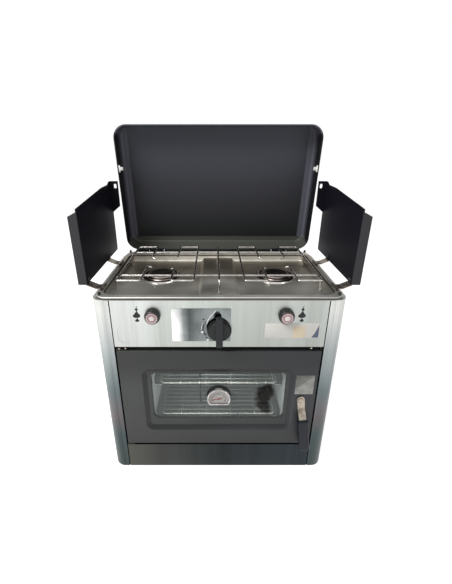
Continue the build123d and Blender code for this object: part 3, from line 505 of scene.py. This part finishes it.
def plated(name, dark, light, rough, patch_size=60.0):
    """Bright plated or polished metal with faint cloudiness."""
    look = Finish(name, rough, 1.0)
    patch = look.group(handling_patches, Size=patch_size)
    skin = look.group(paint_skin, Pores=600.0)
    look.colour(look.mix(patch.outputs["Patch"], dark, light))
    look.roughness(patch.outputs["Patch"], max(rough - 0.04, 0.02), rough + 0.06)
    look.bump(skin.outputs["Height"], 0.01, 0.2)
    return look.material


def see_through(name, tint, rough, share):
    """Thin glass: mostly clear, with a film of its own tint."""
    look = Finish(name, rough, 0.0)
    patch = look.group(handling_patches, Size=10.0)
    look.colour(look.mix(patch.outputs["Patch"], tint, tuple(c * 1.3 for c in tint)))
    look.shader.inputs["Alpha"].default_value = share
    return look.material


def window_finish():
    """Oven glass: a thin greenish film, with one dark patch of painted reflection at the right."""
    look = Finish("oven_window_glass", 0.14, 0.0, 0.12)
    patch = look.group(handling_patches, Size=48.0)
    # The dark painted reflection: its centre in metres, and how much taller it is than wide.
    painted_reflection_x = 0.1035
    painted_reflection_z = 0.2150
    height_to_width = 1.9
    painted_reflection_dark, film = (0.006, 0.006, 0.004), (0.42, 0.47, 0.445)
    squeezed = look.step("MULTIPLY", look.place, (height_to_width, 0.0, 1.0))
    reach = look.step("DISTANCE", squeezed, (height_to_width * painted_reflection_x, 0.0, painted_reflection_z))
    uneven = calc(look.tree, "MULTIPLY_ADD", patch.outputs["Patch"], 0.032, reach)
    clear = look.span(uneven, 0.022, 0.060)
    look.colour(look.mix(look.span(clear, 0.70, 1.0), painted_reflection_dark, film))
    look.link(look.span(clear, 0.0, 1.0, 0.90, 0.10), look.shader.inputs["Alpha"])
    return look.material


def hob_finish():
    """Polished stainless tray: warm at the back, a dull rear wall, a painted highlight along the rear rim,
    and a painted shadow line below the rim.
    """
    look = Finish("hob_polished_steel", 0.5, 1.0)
    grain = look.group(brushed_grain, Lines=(60, 900, 900), Contrast=0.8)
    patch = look.group(handling_patches, Size=11.0)
    span = look.span(look.axis("Y"), -0.16, 0.12)
    # The last stop is a painted highlight along the rear rim.
    base = look.ramp(span, [(0.0, (0.50, 0.50, 0.475)), (0.09, (0.48, 0.475, 0.44)),
                            (0.20, (0.50, 0.50, 0.46)), (0.34, (0.60, 0.60, 0.55)),
                            (0.55, (0.36, 0.335, 0.29)), (0.8, (0.30, 0.27, 0.23)),
                            (0.955, (0.30, 0.275, 0.24)), (0.985, (0.70, 0.685, 0.61))])
    metal = look.span(look.axis("Y"), 0.110, 0.115, 1.0, 0.25)
    look.link(metal, look.shader.inputs["Metallic"])
    cloud = look.ramp(patch.outputs["Patch"], [(0.0, (0.85, 0.84, 0.82)), (1.0, 1.15)])
    # Painted shadow: a dark band just below the rim's top.
    level = look.span(look.axis("Z"), (rim_top_z - 10) * mm, rim_top_z * mm)
    painted_shadow_below_rim = look.ramp(level, [(0.0, (0.92, 0.91, 0.90)), (0.30, (0.90, 0.89, 0.88)),
                            (0.44, (0.16, 0.15, 0.14)), (0.80, (0.16, 0.15, 0.14)), (0.90, 1.0)])
    tone = look.multiply(look.multiply(base, cloud), painted_shadow_below_rim)
    shade = look.ramp(grain.outputs["Streak"], [(0.0, 0.85), (1.0, 1.1)])
    look.colour(look.multiply(tone, shade))
    look.roughness(patch.outputs["Patch"], 0.42, 0.54)
    look.bump(grain.outputs["Height"], 0.01, 0.2)
    return look.material


def oven_finish():
    """Grey oven lining with a greenish cast."""
    look = Finish("oven_grey_enamel", 0.34, 0.0, 0.5)
    patch = look.group(handling_patches, Size=16.0)
    look.colour(look.mix(patch.outputs["Patch"], (0.62, 0.68, 0.66), (0.84, 0.89, 0.87)))
    return look.material


def burner_finish(name, rough, stops, tint=(1, 0.84, 0.78)):
    """Burner metal whose tone follows the distance from either burner's axis, in rings of painted shade and
    painted reflection.
    """
    look = Finish(name, rough, 1.0)
    skin = look.group(paint_skin, Pores=500.0)
    patch = look.group(handling_patches, Size=80.0)
    outer = 50
    flat = look.step("MULTIPLY", look.step("ABSOLUTE", look.place), (1, 1, 0))
    reach = look.step("DISTANCE", flat, (burner_x * mm, abs(behind_front(burner_depth)), 0))
    tone = look.ramp(look.span(reach, 0.0, outer * mm),
                     [(r / outer, tuple(v * t for t in tint)) for r, v in stops])
    cloud = look.ramp(patch.outputs["Patch"], [(0.0, 0.8), (1.0, 1.15)])
    look.colour(look.multiply(tone, cloud))
    look.bump(skin.outputs["Height"], 0.01, 0.3)
    return look.material


def shield_finish():
    """Satin black paint, paler along the front folds as a painted sheen."""
    look = Finish("windshield_black_paint", 0.46, 0.0, 0.09)
    skin = look.group(paint_skin, Pores=600.0)
    span = look.span(look.axis("Y"), behind_front(33.0), behind_front(37.0))
    look.colour(look.ramp(span, [(0.0, (0.046, 0.045, 0.050)), (1.0, (0.006, 0.006, 0.010))]))
    look.bump(skin.outputs["Height"], 0.02, 0.4)
    return look.material


def oven_knob_finish():
    """Dark grey plastic knob with a paler face; the black skirt behind it is painted shade."""
    look = Finish("oven_knob_plastic", 0.45, 0.0, 0.2)
    skin = look.group(paint_skin, Pores=1500.0)
    knob_reach = 23.5
    span = look.span(look.axis("Y"), behind_front(-knob_reach), behind_front(0))
    # Painted shade: black over the skirt behind the face.
    look.colour(look.ramp(span, [(0.0, (0.019, 0.022, 0.024)), (0.03, (0.019, 0.022, 0.024)),
                                 (0.06, (0.010, 0.011, 0.012)), (0.40, (0.012, 0.013, 0.014)),
                                 (0.44, (0.026, 0.029, 0.028)), (0.48, (0.020, 0.023, 0.022)),
                                 (0.52, (0.006, 0.006, 0.007)), (1.0, (0.006, 0.006, 0.007))]))
    look.bump(skin.outputs["Height"], 0.03, 0.4)
    return look.material


def foil_finish():
    """Thin polished metal plate with a painted reflection, darker at its upper left."""
    look = Finish("latch_plate_foil", 0.2, 1.0)
    patch = look.group(handling_patches, Size=60.0)
    lean_x, lean_z = 0.6, -0.8
    (low_x, low_z), (high_x, high_z) = latch_plate_low, latch_plate_high
    slope = look.step("DOT_PRODUCT", look.place, (lean_x, 0.0, lean_z))
    upper_left = (lean_x * low_x + lean_z * high_z) * mm
    lower_right = (lean_x * high_x + lean_z * low_z) * mm
    span = look.span(slope, upper_left, lower_right)
    base = look.ramp(span, [(0.0, (0.085, 0.085, 0.08)), (0.40, (0.125, 0.125, 0.12)),
                            (0.46, (0.19, 0.19, 0.185)), (1.0, (0.215, 0.215, 0.205))])
    cloud = look.ramp(patch.outputs["Patch"], [(0.0, (0.75, 0.74, 0.72)), (1.0, 1.1)])
    look.colour(look.multiply(base, cloud))
    return look.material


def lid_finish():
    """Satin blue-black paint with painted light: paler towards the free edge, on the border round the
    raised panel and on the lower wall, and painted shade on the rim.
    """
    look = Finish("lid_black_paint", 0.46, 0.0, 0.24)
    skin = look.group(paint_skin, Pores=600.0)
    painted_light_rise = look.group(painted_light_height_mask, Bottom=0.52, Top=0.80, Waver=0.02)
    # Metres: half widths of the raised panel and inside the rim, and the height of the panel's lower edge.
    away = calc(look.tree, "ABSOLUTE", look.axis("X"))
    beside_panel = look.span(away, 0.2262, 0.2285)
    below_panel = look.span(look.axis("Z"), 0.503, 0.500)
    painted_shade_rim_mask = look.span(away, 0.2440, 0.2465)
    # Painted light: the panel pales towards the free edge, the border and lower wall are paler, and the rim
    # is darkened as painted shade.
    panel = look.ramp(painted_light_rise.outputs["Tone"], [(0.0, (0.010, 0.011, 0.012)), (0.5, (0.033, 0.034, 0.041)),
                                             (1.0, (0.068, 0.074, 0.092))])
    border = look.mix(beside_panel, panel, (0.105, 0.108, 0.132))
    painted_light_lower_wall = look.mix(below_panel, border, (0.070, 0.072, 0.061))
    look.colour(look.mix(painted_shade_rim_mask, painted_light_lower_wall, (0.006, 0.006, 0.007)))
    look.bump(skin.outputs["Height"], 0.02, 0.4)
    return look.material


def frame_shade(look):
    """Painted shade on the slopes of the sunk frame round the window, deepest at its left and top, with
    thin painted highlights along its edges.
    """
    corner = 18.8
    middle = look.step("SUBTRACT", look.place, (0, 0, window_z * mm))
    straight = ((window_half_w - corner) * mm, 10, (window_half_h - corner) * mm)
    inset = look.step("SUBTRACT", look.step("ABSOLUTE", middle), straight)
    reach = look.step("LENGTH", look.step("MAXIMUM", inset, (0, 0, 0)))
    span = look.span(reach, (corner - 14) * mm, (corner + 3) * mm)
    painted_light_upper_left = look.ramp(span, [(0.0, 1), (0.14, 0.8), (0.22, 0.22), (0.62, 0.14), (0.76, 0.3), (0.84, 1.15),
                            (0.92, 1)])
    painted_light_lower_right = look.ramp(span, [(0.0, 1), (0.16, (0.35, 0.36, 0.37)), (0.30, (0.45, 0.47, 0.52)),
                            (0.70, (0.95, 1.0, 1.1)), (0.80, (1.5, 1.55, 1.6)), (0.88, 0.75), (1.0, 1)])
    slope = look.step("DOT_PRODUCT", middle, (1.0, 0, -1.6))
    return look.mix(look.span(slope, -0.06, 0.22), painted_light_upper_left, painted_light_lower_right)


def door_finish():
    """Matte dark grey paint with painted shade: slightly darker and bluer to the right, darker to the
    bottom, and darkened on the window frame's slopes.
    """
    look = Finish("door_grey_paint", 0.46, 0.0, 0.35)
    skin = look.group(paint_skin, Pores=700.0)
    patch = look.group(handling_patches, Size=14.0)
    painted_light_rise = look.group(painted_light_height_mask, Bottom=0.06, Top=0.32, Waver=0.03)
    # Painted shade to the right and towards the bottom.
    span = look.span(look.axis("X"), -0.20, 0.20)
    painted_light_across = look.ramp(span, [(0.0, (0.052, 0.056, 0.053)), (1.0, (0.030, 0.032, 0.036))])
    painted_shade_by_height = look.ramp(painted_light_rise.outputs["Tone"], [(0.0, 0.02), (0.20, (0.35, 0.35, 0.34)),
                                              (0.45, (0.68, 0.68, 0.67)), (0.80, 0.80), (1.0, 0.44)])
    tone = look.multiply(painted_light_across, painted_shade_by_height)
    cloud = look.ramp(patch.outputs["Patch"], [(0.0, 0.9), (1.0, 1.08)])
    plain = look.multiply(tone, cloud)
    look.colour(look.multiply(plain, frame_shade(look)))
    look.bump(skin.outputs["Height"], 0.03, 0.4)
    return look.material


def rack_finish():
    """Plated rack wire: a painted highlight along the front, darker further in."""
    look = Finish("rack_wire", 0.4, 0.6)
    span = look.span(look.axis("Y"), behind_front(38), behind_front(62))
    look.colour(look.ramp(span, [(0.0, (0.95, 0.94, 0.88)), (0.15, (0.80, 0.79, 0.74)),
                                 (0.3, (0.42, 0.44, 0.42)), (1.0, (0.36, 0.38, 0.37))]))
    return look.material


finishes = {
    "panel_steel": panel_finish(),
    "side_steel": strip_finish(),
    "skirt_steel": skirt_finish(),
    "plain_steel": brushed_sheet("galvanised_sheet", (0.30, 0.30, 0.31), (0.42, 0.42, 0.42), 0.4,
                                 (160, 160, 160), 1.5),
    "hob_steel": hob_finish(),
    "support_wire": plated("plated_wire", (0.40, 0.375, 0.36), (0.62, 0.59, 0.57), 0.22, 90.0),
    # The trim ring is black inside its bright outer edge: painted shade.
    "trim_chrome": burner_finish("burner_trim_painted_shade", 0.22, [(44.8, 0.015), (45.6, 0.62), (47.4, 0.80)],
                                 (1.0, 0.98, 0.95)),
    "burner_alloy": plated("cast_burner_alloy", (0.030, 0.027, 0.025), (0.10, 0.085, 0.08), 0.42, 140.0),
    # Painted reflection on the cap: a dark top and bright bands.
    "cap_metal": burner_finish("burner_cap_painted_reflection", 0.32,
                               [(0.0, 0.030), (26.0, 0.045), (28.0, 0.34), (32.5, 0.26), (33.4, 0.05),
                                (34.4, 0.30), (36.0, 0.10)]),
    "ceramic_white": painted("glazed_ceramic", (0.34, 0.32, 0.29), 0.3, 0.4, 400.0, 0.01, 0.04),
    "oven_enamel": oven_finish(),
    "valve_brass": plated("valve_brass", (0.42, 0.30, 0.12), (0.62, 0.47, 0.22), 0.3),
    "pipe_alloy": plated("drawn_pipe", (0.42, 0.42, 0.42), (0.58, 0.58, 0.58), 0.3),
    "probe_copper": plated("darkened_probe", (0.016, 0.015, 0.014), (0.05, 0.04, 0.035), 0.45),
    "black_plastic": painted("black_knob_plastic", (0.012, 0.012, 0.013), 0.42, 0.4, 1500.0, 0.02, 0.15),
    "grey_plastic": oven_knob_finish(),
    "grip_plastic": painted("latch_grip_plastic", (0.007, 0.009, 0.014), 0.42, 0.2, 1200.0, 0.02, 0.15),
    "door_paint": door_finish(),
    "lid_paint": lid_finish(),
    "shield_paint": shield_finish(),
    "zinc_steel": plated("zinc_plated_steel", (0.20, 0.168, 0.135), (0.42, 0.375, 0.32), 0.30, 90.0),
    "needle_paint": painted("needle_red_paint", (0.22, 0.03, 0.02), 0.5, 0.3),
    "dial_white": printed("dial_white_print", (0.42, 0.39, 0.375), 0.5, 0.005, 0.08),
    "oven_glass": window_finish(),
    "clear_glass": see_through("dial_lens_glass", (0.80, 0.80, 0.80), 0.05, 0.06),
    "black_rubber": painted("moulded_rubber", (0.018, 0.018, 0.018), 0.7, 0.3, 800.0, 0.05, 0.2),
}

# Pieces that look different from the rest of their material slot.
finish_of_node = {
    "left_side_panel": finishes["side_steel"],
    "right_side_panel": finishes["side_steel"],
    "thermometer_bezel": plated("bezel_chrome", (0.24, 0.225, 0.22), (0.52, 0.49, 0.485), 0.24, 160.0),
    "oven_racks": rack_finish(),
    "windshield_hinge_lugs": finishes["burner_alloy"],
    # The door hinge brackets take the dark alloy as painted shade in the gap above the door.
    "door_hinge_brackets": finishes["burner_alloy"],
}


def coat(piece, finish):
    piece.data.materials.clear()
    piece.data.materials.append(finish)


for entry in frame["record"]["subparts"]:
    node = entry["node"]
    coat(nodes_of_cad[node], finish_of_node.get(node, finishes.get(entry["material_slot"])))


def dress(piece, finish, body):
    """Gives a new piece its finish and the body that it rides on."""
    coat(piece, finish)
    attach(piece, body)


# Plates and marks on the control panel


def plate_finish():
    """Thin polished plate: cloudy grey, with a painted reflection that is bright at the left side."""
    look = Finish("polished_name_plate_blank", 0.18, 1.0)
    patch = look.group(handling_patches, Size=26.0)
    span = look.span(look.axis("X"), -0.100, -0.030)
    side = look.ramp(span, [(0.0, (0.90, 0.90, 0.88)), (0.24, (0.74, 0.75, 0.74)),
                            (0.38, (0.24, 0.26, 0.26)), (0.55, (0.085, 0.098, 0.096)),
                            (1.0, (0.20, 0.22, 0.22))])
    cloud = look.ramp(patch.outputs["Patch"], [(0.0, 0.62), (1.0, 1.1)])
    look.colour(look.multiply(side, cloud))
    return look.material


mark_black = printed("printed_black", (0.010, 0.010, 0.011))
mark_white = printed("printed_white", (0.85, 0.85, 0.83))
knob_plate = plate("oven_knob_plate", at(-97, plate_face, 370), at(23.5, sheet_face, 446), 2.5, 0.12)
dress(knob_plate, plate_finish(), "cabinet")

label_paper = printed("blank_label_paper", (0.69, 0.67, 0.63), 0.55, 0.004, 0.04)
label_orange = printed("blank_label_orange", (0.78, 0.67, 0.50), 0.55, 0.004, 0.06)
label_blue = printed("blank_label_blue", (0.10, 0.12, 0.17), 0.5, 0.004)
label = plate("blank_label", at(94, paper_face, 377.5), at(207, sheet_face, 412.5), 1.0, 0.06)
dress(label, label_paper, "cabinet")
band = plate("blank_label_band", at(152, -0.36, 378.5), at(178, -0.26, 405), 0.5, 0.03)
dress(band, label_orange, "cabinet")
wedge = flat_shape("blank_label_wedge", [(13.7, 30.8), (10, 20), (6, 10), (0, 0), (14.4, 0)],
                   at(191, paper_face, 378.7), 0.1)
dress(wedge, label_blue, "cabinet")


def flame(height):
    """Outline of a flame that points up, in millimetres."""
    shape = [(0.0, 0.0), (0.22, 0.04), (0.36, 0.2), (0.36, 0.38), (0.24, 0.55), (0.14, 0.72), (0.06, 1.0),
             (-0.06, 0.78), (-0.14, 0.62), (-0.2, 0.5), (-0.3, 0.42), (-0.37, 0.26), (-0.3, 0.1),
             (-0.16, 0.02)]
    return [(1.25 * x * height, z * height) for x, z in shape]


def printed_marks_of_knobs():
    """Flames, a spot and a spark beside each burner knob."""
    spark = [(-1, -1), (1.6, 2.4), (0.6, 2.3), (2.8, 6.4), (-0.8, 3.2), (0.2, 3.1)]
    ink = 0.12
    marks = []
    for side in (left, right):
        label_of = side_name(side)
        x = side * knob_mark_x
        marks += [
            flat_shape(label_of + "_low_flame_mark", flame(9.5), at(x, sheet_face, 415.5), ink),
            flat_shape(label_of + "_high_flame_mark", flame(17), at(x - 0.4, sheet_face, 424.5), ink),
            turned(label_of + "_off_mark", at(x + 0.4, sheet_face, 443.6), forward, [(3, 0), (3, ink)], 24),
            flat_shape(label_of + "_spark_mark", spark, at(x + 0.4, sheet_face, 446), ink)]
    for mark in marks:
        dress(mark, mark_black, "cabinet")


def line_mark(name, points, width, finish, depth=sheet_face, thickness=0.08):
    """A thin band along points of X and Z on the front."""
    upper = []
    lower = []
    for index, (x, z) in enumerate(points):
        before = points[max(index - 1, 0)]
        after = points[min(index + 1, len(points) - 1)]
        run = Vector((after[0] - before[0], after[1] - before[1])).normalized() * width / 2
        upper.append((x - run[1], z + run[0]))
        lower.append((x + run[1], z - run[0]))
    mark = flat_shape(name, upper + lower[::-1], at(0, depth, 0), thickness)
    dress(mark, finish, "cabinet")


def oven_dial_marks():
    """Setting marks printed on the plate, at the left of the oven knob."""
    for name, points, width, finish in (
            ("upper", [(-8, 441), (-11.5, 435.5), (-18.5, 428), (-23, 420), (-26, 412)], 1.8, mark_white),
            ("dark", [(-31.4, 410.5), (-33.4, 405), (-33.8, 397), (-31.5, 390), (-27, 384.5)], 3.0,
             mark_black),
            ("edge", [(-33.6, 412), (-35.8, 405), (-36.4, 397)], 1.2, mark_white)):
        line_mark("oven_setting_arc_" + name, points, width, finish, plate_face)
    for name, x, z, r, finish in (
            ("low", -35, 391.9, 2.7, mark_white), ("end", -24, 372.9, 2.6, mark_white),
            ("bottom", -26.1, 378.6, 1.7, mark_black), ("top", -31.9, 421.3, 1.9, mark_black),
            ("middle", -28.6, 414.4, 1.4, mark_black)):
        spot = turned("oven_setting_spot_" + name, at(x, plate_face, z), forward, [(r, 0), (r, 0.09)], 20)
        dress(spot, finish, "cabinet")


oven_dial_marks()
film_edge = painted("film_edge_grey", (0.36, 0.37, 0.36), 0.4, 0.4, 500.0, 0.003, 0.05)
line_mark("protective_film_edge", [(-210, 399), (-209.6, 377), (-208, 371), (-204, 367.6), (-198, 366.2),
                                   (-187, 365.6)], 0.9, film_edge)
printed_marks_of_knobs()

# Small metal plate above the latch

latch_plate = plate("latch_plate_blank", at(latch_plate_low[0], plate_face, latch_plate_low[1]),
                    at(latch_plate_high[0], sheet_face, latch_plate_high[1]), 1.2, 0.12)
dress(latch_plate, foil_finish(), "oven_door")

# Knob caps

knob_edge_red = painted("knob_edge_red", (0.085, 0.028, 0.030), 0.35, 0.5)
knob_ring_red = painted("knob_ring_red", (0.55, 0.32, 0.32), 0.4, 0.4, 900.0, 0.01, 0.4)
knob_disc_pink = painted("knob_disc_pink", (0.78, 0.71, 0.70), 0.4, 0.4, 500.0, 0.004, 0.25)


def knob_cap(side):
    """Cap, rim, ring and disc on the face of a burner knob."""
    name = side_name(side)
    centre = at(side * knob_x, -13, knob_z)
    red, pale = "needle_paint", "dial_white"
    for part, profile, sides, finish, slot in (
            ("_knob_cap", [(12.9, -0.5), (12.9, 0.5), (12.1, 1.0), (11.0, 1.2)], 56, knob_edge_red, red),
            ("_knob_rim", [(11.0, 0.9), (11.0, 1.4), (9.6, 1.4), (9.6, 1.2)], 56, knob_disc_pink, pale),
            ("_knob_ring", [(8.6, 0.9), (8.6, 1.5), (6.6, 1.5), (6.6, 1.2)], 56, knob_ring_red, red),
            ("_knob_disc", [(5.6, 0.9), (5.6, 1.6), (5.0, 1.7)], 48, knob_disc_pink, pale)):
        dress(turned(name + part, centre, forward, profile, sides), finish, name + "_burner_control")


for side in (left, right):
    knob_cap(side)

# Thermometer print and case


def dial_marks():
    """Ticks printed on the dial, round the needle's pivot."""
    centre = at(0, -3.18, needle_z)
    tick_angle = 18
    tick_end = 17.4
    for step in range(13):
        long_tick = step % 3 == 0
        turn = math.radians((step - 1) * tick_angle)
        near = 12.2 if long_tick else 13.6
        run = Vector((-math.cos(turn), 0, math.sin(turn)))
        side_step = Vector((math.sin(turn), 0, math.cos(turn))) * (1.0 if long_tick else 0.8)
        corners = []
        for place in (run * near + side_step, run * tick_end + side_step, run * tick_end - side_step,
                      run * near - side_step):
            corners.append((place.x, place.z))
        tick = flat_shape("dial_tick_" + str(step), corners, centre, 0.06)
        dress(tick, mark_black, "oven_door")


dial_marks()
gasket = turned("thermometer_gasket", at(0, 7.1, 223.4), forward,
                [(27.5, 0.0), (27.5, 0.9), (26.4, 1.8), (24.0, 1.8), (24.0, 0.6)], 56)
dress(gasket, finishes["black_rubber"], "oven_door")


def weld_beads():
    """Beads where the rack's cross wires meet its front wire."""
    pitch = 22.5
    for level, z in (("upper", 233.0), ("lower", 139.5)):
        for index in range(11):
            x = (index - 5) * pitch
            deselect()
            bpy.ops.mesh.primitive_uv_sphere_add(segments=12, ring_count=8, radius=3.0 * mm,
                                                 location=at(x, 37.6, z + 0.8))
            bpy.context.object.scale = (1.25, 0.9, 0.9)
            bead = settle(level + "_rack_bead_" + str(index))
            smooth(bead, 60)
            dress(bead, painted_highlight_bead_metal, "cabinet")


# Near-white metal: the beads carry a painted highlight.
painted_highlight_bead_metal = plated("weld_bead_metal", (0.85, 0.84, 0.78), (0.98, 0.97, 0.92), 0.3, 90.0)
weld_beads()

# Screws and rivets


def gap_screws():
    """Screws seen in the gap between the control panel and the door."""
    for name, x, z in (("first", -211.6, 350.6), ("second", -198.2, 351.4), ("third", 194.8, 352.0)):
        screw = turned("gap_screw_" + name, at(x, 1.2, z), forward,
                       [(2.1, -1.2), (2.1, 0.4), (1.4, 0.9), (0.5, 0.9), (0.5, 0.5)], 24)
        dress(screw, finishes["zinc_steel"], "cabinet")


gap_screws()


def hob_screw(name, x, depth, z):
    """Pan-headed screw that stands upright on the hob."""
    screw = turned(name, at(x, depth, z), upward,
                   [(2.6, -1.0), (2.6, 0.8), (1.9, 1.6), (0.7, 1.7), (0.7, 1.2)], 24)
    dress(screw, finishes["zinc_steel"], "cabinet")


well_floor_z = rim_top_z - 20
hob_screw("hob_screw_left", -190, 180, well_floor_z)
hob_screw("hob_screw_right", 190, 180, well_floor_z)


def strap_rivets(side):
    """Dark rivet heads on the inner face of a windshield, over its straps."""
    name = side_name(side)
    inner_face_x = 270.4
    rivet_z = 490
    for label_of, depth in (("front", 46.5), ("rear", 202)):
        place = at(side * inner_face_x, depth, rivet_z)
        head = turned(name + "_shield_rivet_" + label_of, place, (-side, 0, 0),
                      [(5.0, -0.2), (5.0, 1.0), (4.2, 2.2), (2.4, 2.8)], 28)
        dress(head, finishes["black_plastic"], name + "_windshield")


for side in (left, right):
    strap_rivets(side)

# Floor, light and camera


def seen_directly(tree):
    """1 for rays from the camera, a mirror or a pane, and 0 for rays that light a surface."""
    rays = tree.nodes.new("ShaderNodeLightPath")
    mirrored = calc(tree, "MAXIMUM", rays.outputs["Is Glossy Ray"], rays.outputs["Is Transmission Ray"])
    return calc(tree, "MAXIMUM", rays.outputs["Is Camera Ray"], mirrored)


def pale_floor():
    deselect()
    bpy.ops.mesh.primitive_plane_add(size=30, location=(0, 0, -0.0005))
    floor = bpy.context.object
    floor.name = "pale_floor"
    look = Finish("pale_floor", 0.9, 0.0, 0.0)
    look.colour((0.88, 0.88, 0.88))
    look.shader.inputs["Emission Color"].default_value = (1, 1, 1, 1)
    glow = calc(look.tree, "MULTIPLY", seen_directly(look.tree), 0.78)
    look.link(glow, look.shader.inputs["Emission Strength"])
    floor.data.materials.append(look.material)


def white_surround():
    """White where it is seen or mirrored, and weaker as a light."""
    world = bpy.data.worlds.new("studio")
    bpy.context.scene.world = world
    world.use_nodes = True
    tree = world.node_tree
    background = tree.nodes["Background"]
    background.inputs["Color"].default_value = (1, 1, 1, 1)
    strength = tree.nodes.new("ShaderNodeMapRange")
    tree.links.new(seen_directly(tree), strength.inputs["Value"])
    strength.inputs["To Min"].default_value = 0.30
    strength.inputs["To Max"].default_value = 1.0
    tree.links.new(strength.outputs["Result"], background.inputs["Strength"])


def area_light(name, place, size, power, aim):
    lamp = bpy.data.lights.new(name, "AREA")
    lamp.energy = power
    lamp.size = size
    holder = bpy.data.objects.new(name, lamp)
    holder.location = place
    holder.rotation_euler = (Vector(aim) - Vector(place)).to_track_quat("-Z", "Y").to_euler()
    bpy.context.scene.collection.objects.link(holder)


def photo_camera():
    lens = bpy.data.cameras.new("photo_camera")
    lens.lens = 21.25
    lens.sensor_width = 36
    lens.shift_x = 0.0223
    lens.clip_start = 0.01
    camera = bpy.data.objects.new("photo_camera", lens)
    camera.location = (-0.0130, behind_front(-618.3), 0.7523)
    camera.rotation_euler = (math.radians(66.38), 0, 0)
    bpy.context.scene.collection.objects.link(camera)
    bpy.context.scene.camera = camera


pale_floor()
white_surround()
middle_of_stove = (0, 0, 0.3)
area_light("upper_left_light", (-1.1, -0.9, 2.0), 0.9, 44, middle_of_stove)
area_light("soft_right_light", (1.8, -1.6, 1.2), 1.4, 9, middle_of_stove)
area_light("oven_fill_light", at(0, 75, 310), 0.08, 0.09, at(0, 160, 190))
photo_camera()
bpy.context.scene.view_settings.view_transform = "Standard"
